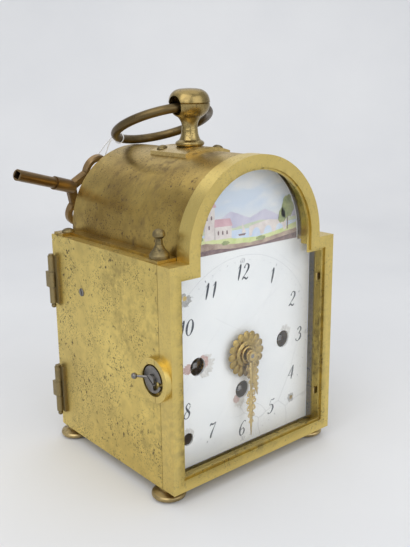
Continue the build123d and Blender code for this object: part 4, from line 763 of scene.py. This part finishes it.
# Bridge of three round arches over the water on the right
bridge_low = 96.4
span_radius = 2.3
bridge_xs = np.linspace(3.5, 24.5, 85)
bridge_lows = np.full(len(bridge_xs), bridge_low)
for middle in (7.4, 14.0, 20.6):
    within = np.abs(bridge_xs - middle) < span_radius
    opening = np.sqrt(span_radius**2 - (bridge_xs[within] - middle) ** 2)
    bridge_lows[within] = bridge_low + 1.3 * opening
bridge_highs = np.interp(bridge_xs, [3.5, 14.0, 24.5], [100.4, 101.8, 100.4])
strip("picture_bridge", bridge_xs, bridge_lows, bridge_highs, stone_paint, 6)

# A boat with a sail
layer("picture_boat", [(-2.4, 97.9), (1.8, 97.9), (1.2, 97.2), (-1.8, 97.2)], dark_paint, 7)
layer("picture_sail", [(-0.3, 98.0), (-0.2, 102.2), (1.9, 98.3)], stone_paint, 7)

# Trees and bushes on both banks
leafy("picture_tree_0", 25.2, 105.6, 3.6, 5.0, 2)
leafy("picture_tree_1", 22.0, 102.4, 2.2, 3.0, 4)
leafy("picture_tree_2", -24.2, 101.4, 2.8, 3.4, 6)
leafy("picture_tree_3", -22.2, 98.4, 1.8, 1.6, 12)
leafy("picture_bush_0", 10.0, 94.8, 2.6, 0.9, 14)
leafy("picture_bush_1", -9.0, 95.4, 2.0, 0.8, 15)
layer("picture_trunk", [(24.9, 96.5), (25.6, 96.5), (25.5, 103.0), (25.0, 103.0)], dark_paint, 8)


# Chips in the enamel
# Places round the winding holes and the screws where the white has broken away.
# The ground under the enamel shows as rough white, pink or grey, here as flat patches.
def chip(name, place, inner, reach, start, end, material, seed, depth=1):
    """Patch round a hole at a place in millimetres, between two angles in degrees. Its inner edge
    is a circle; its outer edge swells from both ends to the middle and is cut back at random."""
    rng = random.Random(seed)
    angles = np.linspace(math.radians(start), math.radians(end), 30)
    swell = np.sin(math.pi * np.arange(len(angles)) / (len(angles) - 1)) ** 0.5
    ragged = np.array([rng.uniform(0.6, 1.0) for _ in angles])
    radii = np.concatenate([np.full(len(angles), inner), inner + (reach - inner) * swell * ragged])
    x = centre_x + (place[0] + radii * np.cos(np.tile(angles, 2))) * MM
    z = (place[1] + radii * np.sin(np.tile(angles, 2))) * MM
    verts = np.stack([x, np.full(len(x), coat_y(depth)), z], 1)
    on_dial(new_mesh(name, verts, grid_faces(2, len(angles)), material, smooth=False))


chip_white = paint("chip_white", (0.60, 0.58, 0.55), (0.80, 0.79, 0.77), 1400.0, 0.7)
chip_pink = paint("chip_pink", (0.50, 0.30, 0.27), (0.70, 0.56, 0.52), 1400.0, 0.7)
chip_grey = paint("chip_grey", (0.34, 0.33, 0.32), (0.58, 0.57, 0.56), 1400.0, 0.7)
left_hole, right_hole, lower_hole = (-23.6, 48.7), (23.6, 48.7), (0.0, 32.5)
upper_screw, lower_screw = (-29.4, 77.3), (29.4, 20.1)
hole_edge = 3.75
screw_edge = 1.05
chip("chip_left_0", left_hole, hole_edge, 9.0, -75, 60, chip_white, 1)
chip("chip_left_1", left_hole, hole_edge, 6.0, -20, 70, chip_pink, 2, 2)
chip("chip_left_2", left_hole, hole_edge, 8.0, 150, 205, chip_pink, 3)
chip("chip_right_0", right_hole, hole_edge, 6.8, 20, 110, chip_white, 4)
chip("chip_lower_0", lower_hole, hole_edge, 8.8, 215, 285, chip_white, 5)
chip("chip_lower_1", lower_hole, hole_edge, 7.0, 200, 250, chip_pink, 6, 2)
chip("chip_corner_0", (-29.0, 19.9), 2.65, 5.2, 20, 150, chip_white, 7)
chip("chip_screw_0", upper_screw, screw_edge, 4.2, -150, 40, chip_grey, 8)
chip("chip_screw_1", upper_screw, screw_edge, 2.6, 60, 200, chip_grey, 9)
chip("chip_screw_2", lower_screw, screw_edge, 2.6, 0, 350, chip_grey, 10)


# Hairlines
# Long fine cracks that cross the enamel from edge to edge, as in an old fired dial.
# Each runs between two places, in millimetres, with a small waver at its joints.
crack_ends = [
    (-38, 60, -8, 90), (-36, 38, 14, 90), (-20, 12, 26, 88), (-38, 70, -30, 88), (2, 60, 38, 84),
    (-38, 30, -24, 46), (8, 12, 38, 58), (-14, 66, 38, 36), (-6, 12, 4, 26), (16, 90, 38, 74),
]
crack_joints = 14
crack_rng = random.Random(21)
crack_strokes = []
for x0, z0, x1, z1 in crack_ends:
    waver = np.array([crack_rng.uniform(-0.35, 0.35) for _ in range(crack_joints)])
    share = np.arange(crack_joints) / (crack_joints - 1)
    crack_x = centre_x + (x0 + (x1 - x0) * share + waver) * MM
    crack_z = (z0 + (z1 - z0) * share - waver) * MM
    row = np.stack([crack_x, crack_z, np.full(crack_joints, 0.07 * MM)], 1)
    crack_strokes.append((row, False))
hairline = paint("hairline", (0.55, 0.56, 0.58), (0.74, 0.75, 0.77), 200.0, 0.4)
flat_piece("enamel_hairlines", crack_strokes, hairline, ink_lift * 0.6)


# Alarm disc
# A rosette of sixteen round petals on the hour wheel's pipe, which is turned to set the alarm.
# Cast brass, gilt, with a raised centre.
def rosette():
    """Height field over a lobed outline. The outline's reach swells at each petal by the cosine of
    the turn to the power 0.55. A petal rises as half a sine wave from its root to its tip, higher
    along its middle, and the centre is a shallow cosine ripple. Walls and a flat back close it."""
    petals = 16
    rings = 26
    around = petals * 12
    hole, root = 2.45 * MM, 5.0 * MM
    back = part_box("alarm_disc")[1][1]
    turn = 2 * math.pi * np.arange(around) / around
    lobe = np.abs(np.cos(petals * turn / 2))
    edge = (7.9 + 1.75 * lobe**0.55) * MM
    reach = hole + (edge - hole) * (np.arange(rings) / (rings - 1))[:, None]
    dome = np.sin(np.clip((reach / MM - 5.2) / 4.1, 0.0, 1.0) * math.pi) * (0.35 + 0.65 * lobe)
    ripple = 0.62 + 0.16 * np.cos((reach / MM - 3.6) * 2.4)
    rise = np.minimum(0.8, np.where(reach < root, ripple, 0.22 + 0.55 * dome))
    x, z = centre_x + reach * np.cos(turn), centre_z + reach * np.sin(turn)
    front = np.stack([x, back - rise * MM, z], -1)
    rear = front[[0, -1]]
    rear[..., 1] = back
    verts = np.concatenate([front, rear]).reshape(-1, 3)
    here = np.arange(around)
    there = (here + 1) % around
    front_tip, rear_hole, rear_tip = ((rings + k) * around for k in (-1, 0, 1))
    walls = [
        (here, rear_hole + here, rear_hole + there, there),
        (front_tip + here, front_tip + there, rear_tip + there, rear_tip + here),
        (rear_hole + here, rear_tip + here, rear_tip + there, rear_hole + there),
    ]
    faces = grid_faces(rings, around, wrap=True)
    for wall in walls:
        faces += np.stack(wall, 1).tolist()
    obj = new_mesh("alarm_rosette", verts, faces, gilt)
    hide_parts("alarm_disc")
    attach(obj, "alarm_disc")


rosette()


# Hands
# Pierced hands, each a tapering rib on a flat blade with pairs of scrolls and beads along it.
# Brass, sawn, chased and gilt, with a ring at the hub. Each is built pointing up, in millimetres.
def tube(points, radii, sides):
    """Round bar through points: at each, a circle of its radius square to the run, ends closed."""
    p = np.asarray(points, float)
    tangent = np.gradient(p, axis=0)
    tangent /= np.maximum(np.linalg.norm(tangent, axis=1, keepdims=True), 1e-12)
    side_a = np.cross(tangent, (0.0, 1.0, 0.0))
    side_a /= np.maximum(np.linalg.norm(side_a, axis=1, keepdims=True), 1e-12)
    side_b = np.cross(tangent, side_a)
    angle = np.linspace(0, 2 * math.pi, sides, endpoint=False)[None, :, None]
    ring = np.cos(angle) * side_a[:, None] + np.sin(angle) * side_b[:, None]
    verts = (p[:, None] + ring * np.asarray(radii, float)[:, None, None]).reshape(-1, 3)
    faces = grid_faces(len(p), sides, wrap=True)
    faces.append(list(range(sides)))
    faces.append(list(reversed(range(len(verts) - sides, len(verts)))))
    return verts, faces


def turned(profile, around):
    """Surface turned round the Y axis from (radius, y) rows, not closed from last to first."""
    radius, y = np.array(profile, float).T[:, :, None]
    turn = 2 * math.pi * np.arange(around) / around
    verts = np.stack([radius * np.cos(turn), y + 0 * turn, radius * np.sin(turn)], -1)
    return verts.reshape(-1, 3), grid_faces(len(profile), around, wrap=True)


def bead(x, z, radius, flat):
    """Ball on the hand, pressed by the share flat along Y: half a circle turned round Y."""
    angle = math.pi * np.arange(7) / 6
    verts, faces = turned(np.stack([radius * np.sin(angle), flat * radius * np.cos(angle)], 1), 10)
    return verts + (x, 0.0, z), faces


def scroll(x, z, size, way):
    """Spiral that starts at the rib and curls outwards: its reach shrinks evenly by 72 percent over
    one and a quarter turns, and the bar thins with it."""
    share = np.linspace(0, 1, 26)
    angle = math.pi * (1.0 + 2.5 * share)
    reach = size * (1 - 0.72 * share)
    across = x + way * (size + reach * np.cos(angle))
    points = np.stack([across, 0 * share, z + reach * np.sin(angle) * 0.9], 1)
    return tube(points, size * (0.30 - 0.12 * share), sides=7)


def hub_ring(inner, outer, half):
    """Flat ring round the arbor with a rounded front edge, turned and closed at its bore."""
    around = 40
    middle = (inner + outer) / 2
    profile = [
        (inner, -half), (inner + 0.2, -half), (middle, -half), (outer - 0.15, -half),
        (outer, -half * 0.4), (outer, half), (inner, half),
    ]
    verts, faces = turned(profile, around)
    here = np.arange(around)
    there = (here + 1) % around
    last = (len(profile) - 1) * around
    faces += np.stack([last + here, last + there, there, here], 1).tolist()
    return verts, faces


def rib(z_start, z_end, wide_start, wide_end):
    """Tapering bar up the hand, with nine soft swellings."""
    count = 30
    z = np.linspace(z_start, z_end, count)
    swell = 1 + 0.16 * np.sin(np.linspace(0, 9 * math.pi, count))
    radii = np.linspace(wide_start, wide_end, count) * swell
    return tube(np.stack([0 * z, 0 * z, z], 1), radii, sides=8)


def blade(rows):
    """Flat body of a hand from (distance from the hub, half width) rows, with a ridge in front."""
    half = 0.22
    z, w = np.array(rows, float).T
    outline = [
        (-w, -half * 0.5), (0 * w, -half), (w, -half * 0.5), (w, half * 0.6), (-w, half * 0.6),
    ]
    edges = [np.stack([x, np.full(len(z), y), z], 1) for x, y in outline]
    verts = np.stack(edges, 1).reshape(-1, 3)
    faces = grid_faces(len(rows), len(outline), wrap=True)
    faces.append([4, 3, 2, 1, 0])
    faces.append(list(range(len(verts) - 5, len(verts))))
    return verts, faces


def garland(rows):
    """Pairs of scrolls with beads between them, from (distance from the hub, size) rows."""
    made = []
    for z, size in rows:
        for way in (-1, 1):
            made.append(scroll(way * 0.15, z, size * 0.72, way))
            made.append(bead(way * (size * 0.85), z - size * 0.75, 0.36 * size, 0.7))
        made.append(bead(0.0, z + 0.5 * size, 0.3 + 0.18 * size, 0.8))
    return made


def hand(name, solid, body, angle, parts):
    """Hand at the solid's depth and no thicker than it, turned clockwise by an angle in degrees."""
    low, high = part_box(solid)
    middle, half = (low[1] + high[1]) / 2, (high[1] - low[1]) / 2
    verts, faces = joined(parts)
    x, y, z = verts.T * MM
    cos, sin = math.cos(math.radians(angle)), math.sin(math.radians(angle))
    y = middle + np.clip(y, -half, half)
    placed = np.stack([centre_x + x * cos + z * sin, y, centre_z - x * sin + z * cos], 1)
    obj = new_mesh(name, placed, faces, gilt)
    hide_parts(solid)
    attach(obj, body)


minute_blade = [
    (2.5, 0.9), (9, 0.65), (14, 0.6), (18, 1.15), (22, 1.2), (26, 0.8), (30, 0.5), (34.8, 0.1),
]
minute_scrolls = [
    (5.4, 0.9), (8.4, 0.8), (11.4, 0.95), (16.6, 1.55), (19.8, 1.8), (23.0, 1.6), (26.0, 1.25),
    (28.8, 0.85),
]
minute_parts = [hub_ring(0.95, 2.7, 0.3), rib(2.4, 34.6, 0.5, 0.16), blade(minute_blade)]
minute_parts += garland(minute_scrolls)
hand("minute_hand_gilt", "minute_hand", "minute_train", 180.0, minute_parts)

hour_blade = [(3.6, 0.8), (5.5, 1.9), (8.5, 2.1), (12, 1.4), (15.5, 0.8), (19.3, 0.1)]
hour_scrolls = [(6.0, 2.0), (9.2, 2.15), (12.2, 1.7), (14.8, 1.1), (16.8, 0.7)]
hour_parts = [hub_ring(2.4, 3.8, 0.3), rib(3.5, 19.2, 0.55, 0.18), blade(hour_blade)]
hour_parts += garland(hour_scrolls)
hand("hour_hand_gilt", "hour_hand", "hour_train", 165.0, hour_parts)


# Thread of the key
# A limp white thread from the key's bow up to the ring, round its wire and back.
# Twisted white cotton, a round cord on the same route as the solid one, through these corners.
def thread_material():
    """White thread, shaded by fine twisted bands."""
    material, tree, shader = tree_of("white_thread")
    twist = node(tree, "ShaderNodeTexWave", Scale=900.0, Distortion=2.0)
    tree.links.new(object_place(tree), twist.inputs["Vector"])
    tone = ramp(tree, twist.outputs["Fac"], [(0.2, (0.62, 0.63, 0.64)), (0.8, (0.92, 0.92, 0.92))])
    tree.links.new(tone, shader.inputs["Base Color"])
    shader.inputs["Roughness"].default_value = 0.55
    return material


thread_corners = [
    (-0.009968, 0.038096, 0.121458),
    (-0.010230, 0.039642, 0.121995),
    (-0.008752, 0.038478, 0.126066),
    (-0.005926, 0.030775, 0.133591),
    (-0.005064, 0.028065, 0.135945),
    (-0.004245, 0.024641, 0.132135),
    (-0.005926, 0.027527, 0.129251),
    (-0.007396, 0.030740, 0.132901),
    (-0.008168, 0.034866, 0.124714),
    (-0.009614, 0.036005, 0.120731),
    (-0.009875, 0.037551, 0.121268),
]
thread_diameter = 0.0005
thread_curve = bpy.data.curves.new("key_cord", "CURVE")
thread_curve.dimensions = "3D"
thread_curve.bevel_depth = thread_diameter / 2
thread_curve.bevel_resolution = 3
thread_curve.resolution_u = 10
thread_curve.use_fill_caps = True
spline = thread_curve.splines.new("NURBS")
spline.points.add(len(thread_corners) - 1)
spline.points.foreach_set("co", np.insert(thread_corners, 3, 1.0, axis=1).ravel())
spline.order_u = 3
spline.use_endpoint_u = True
thread_curve.materials.append(thread_material())
key_cord = bpy.data.objects.new("key_cord", thread_curve)
scene.collection.objects.link(key_cord)
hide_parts("key_thread")
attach(key_cord, "key")


# Stage
# A plain pale table that runs up into a paler wall, with broad soft lights round it.
# The sweep is turned to lie square to the camera's view. It is no part of the clock.
def stage_material():
    """Matt grey white, a little uneven."""
    material, tree, shader = tree_of("table_cloth")
    weave = noise(tree, object_place(tree), Scale=6.0, Detail=6.0)
    tone = ramp(tree, weave, [(0.3, (0.66, 0.665, 0.68)), (0.7, (0.71, 0.712, 0.72))])
    tree.links.new(tone, shader.inputs["Base Color"])
    shader.inputs["Roughness"].default_value = 0.9
    return material


table_front, table_rear, wall_top, half_breadth = -1.2, 0.45, 1.6, 2.2
sweep_radius = 0.35
sweep = math.pi / 2 * np.arange(13) / 12
wall = table_rear + sweep_radius
along = np.array([table_front, table_rear, *(table_rear + sweep_radius * np.sin(sweep)), wall])
height = np.array([0.0, 0.0, *(sweep_radius - sweep_radius * np.cos(sweep)), wall_top])
along, height = along[:, None], height[:, None]
side = np.array([-half_breadth, half_breadth])
view_turn = math.radians(-40.9)
table_x = side * math.cos(view_turn) - along * math.sin(view_turn)
table_y = side * math.sin(view_turn) + along * math.cos(view_turn)
table_verts = np.stack([table_x, table_y, height + 0 * side], -1).reshape(-1, 3)
backdrop = new_mesh("table", table_verts, grid_faces(len(along), 2), stage_material())

world = bpy.data.worlds.new("studio")
scene.world = world
world.use_nodes = True
room = world.node_tree.nodes["Background"]
room.inputs["Color"].default_value = (0.93, 0.96, 1.0, 1.0)
room.inputs["Strength"].default_value = 0.62


def area(name, place, target, size, power, colour):
    """Soft box of a size in metres and a power in watts, at a place, aimed at a target."""
    light = bpy.data.lights.new(name, "AREA")
    light.shape = "RECTANGLE"
    light.size, light.size_y = size
    light.energy = power
    light.color = colour
    obj = bpy.data.objects.new(name, light)
    obj.location = place
    obj.rotation_euler = (Vector(target) - Vector(place)).to_track_quat("-Z", "Y").to_euler()
    scene.collection.objects.link(obj)


area("key_light", (-0.75, -0.35, 0.75), (0, 0, 0.07), (1.0, 1.0), 5.6, (1.0, 0.98, 0.95))
area("front_light", (0.15, -0.95, 0.5), (0, 0, 0.07), (1.0, 0.8), 3.2, (0.97, 0.98, 1.0))
area("top_light", (0.1, 0.2, 0.95), (0, 0, 0.05), (1.2, 1.2), 3.4, (1.0, 1.0, 1.0))


# Camera
# The photo's own view: place, turn, tilt, roll and lens were solved from the case's straight edges.
azimuth, elevation, roll = (math.radians(angle) for angle in (-40.9018, 13.5486, -0.4757))
level = math.cos(elevation)
back = Vector((math.sin(azimuth) * level, -math.cos(azimuth) * level, math.sin(elevation)))
right = Vector((math.cos(azimuth), math.sin(azimuth), 0.0))
up = back.cross(right)
right_rolled = math.cos(roll) * right + math.sin(roll) * up
up_rolled = -math.sin(roll) * right + math.cos(roll) * up
camera_data = bpy.data.cameras.new("camera")
camera_data.sensor_width = 36.0
camera_data.lens = 47.66
camera_data.shift_x = -0.0174
camera_data.shift_y = -0.0280
camera_data.clip_start = 0.01
camera = bpy.data.objects.new("camera", camera_data)
camera_place = Matrix((right_rolled, up_rolled, back)).transposed().to_4x4()
camera_place.translation = Vector((-0.18326, -0.24049, 0.1549))
camera.matrix_world = camera_place
scene.collection.objects.link(camera)
scene.camera = camera
scene.view_settings.view_transform = "Standard"
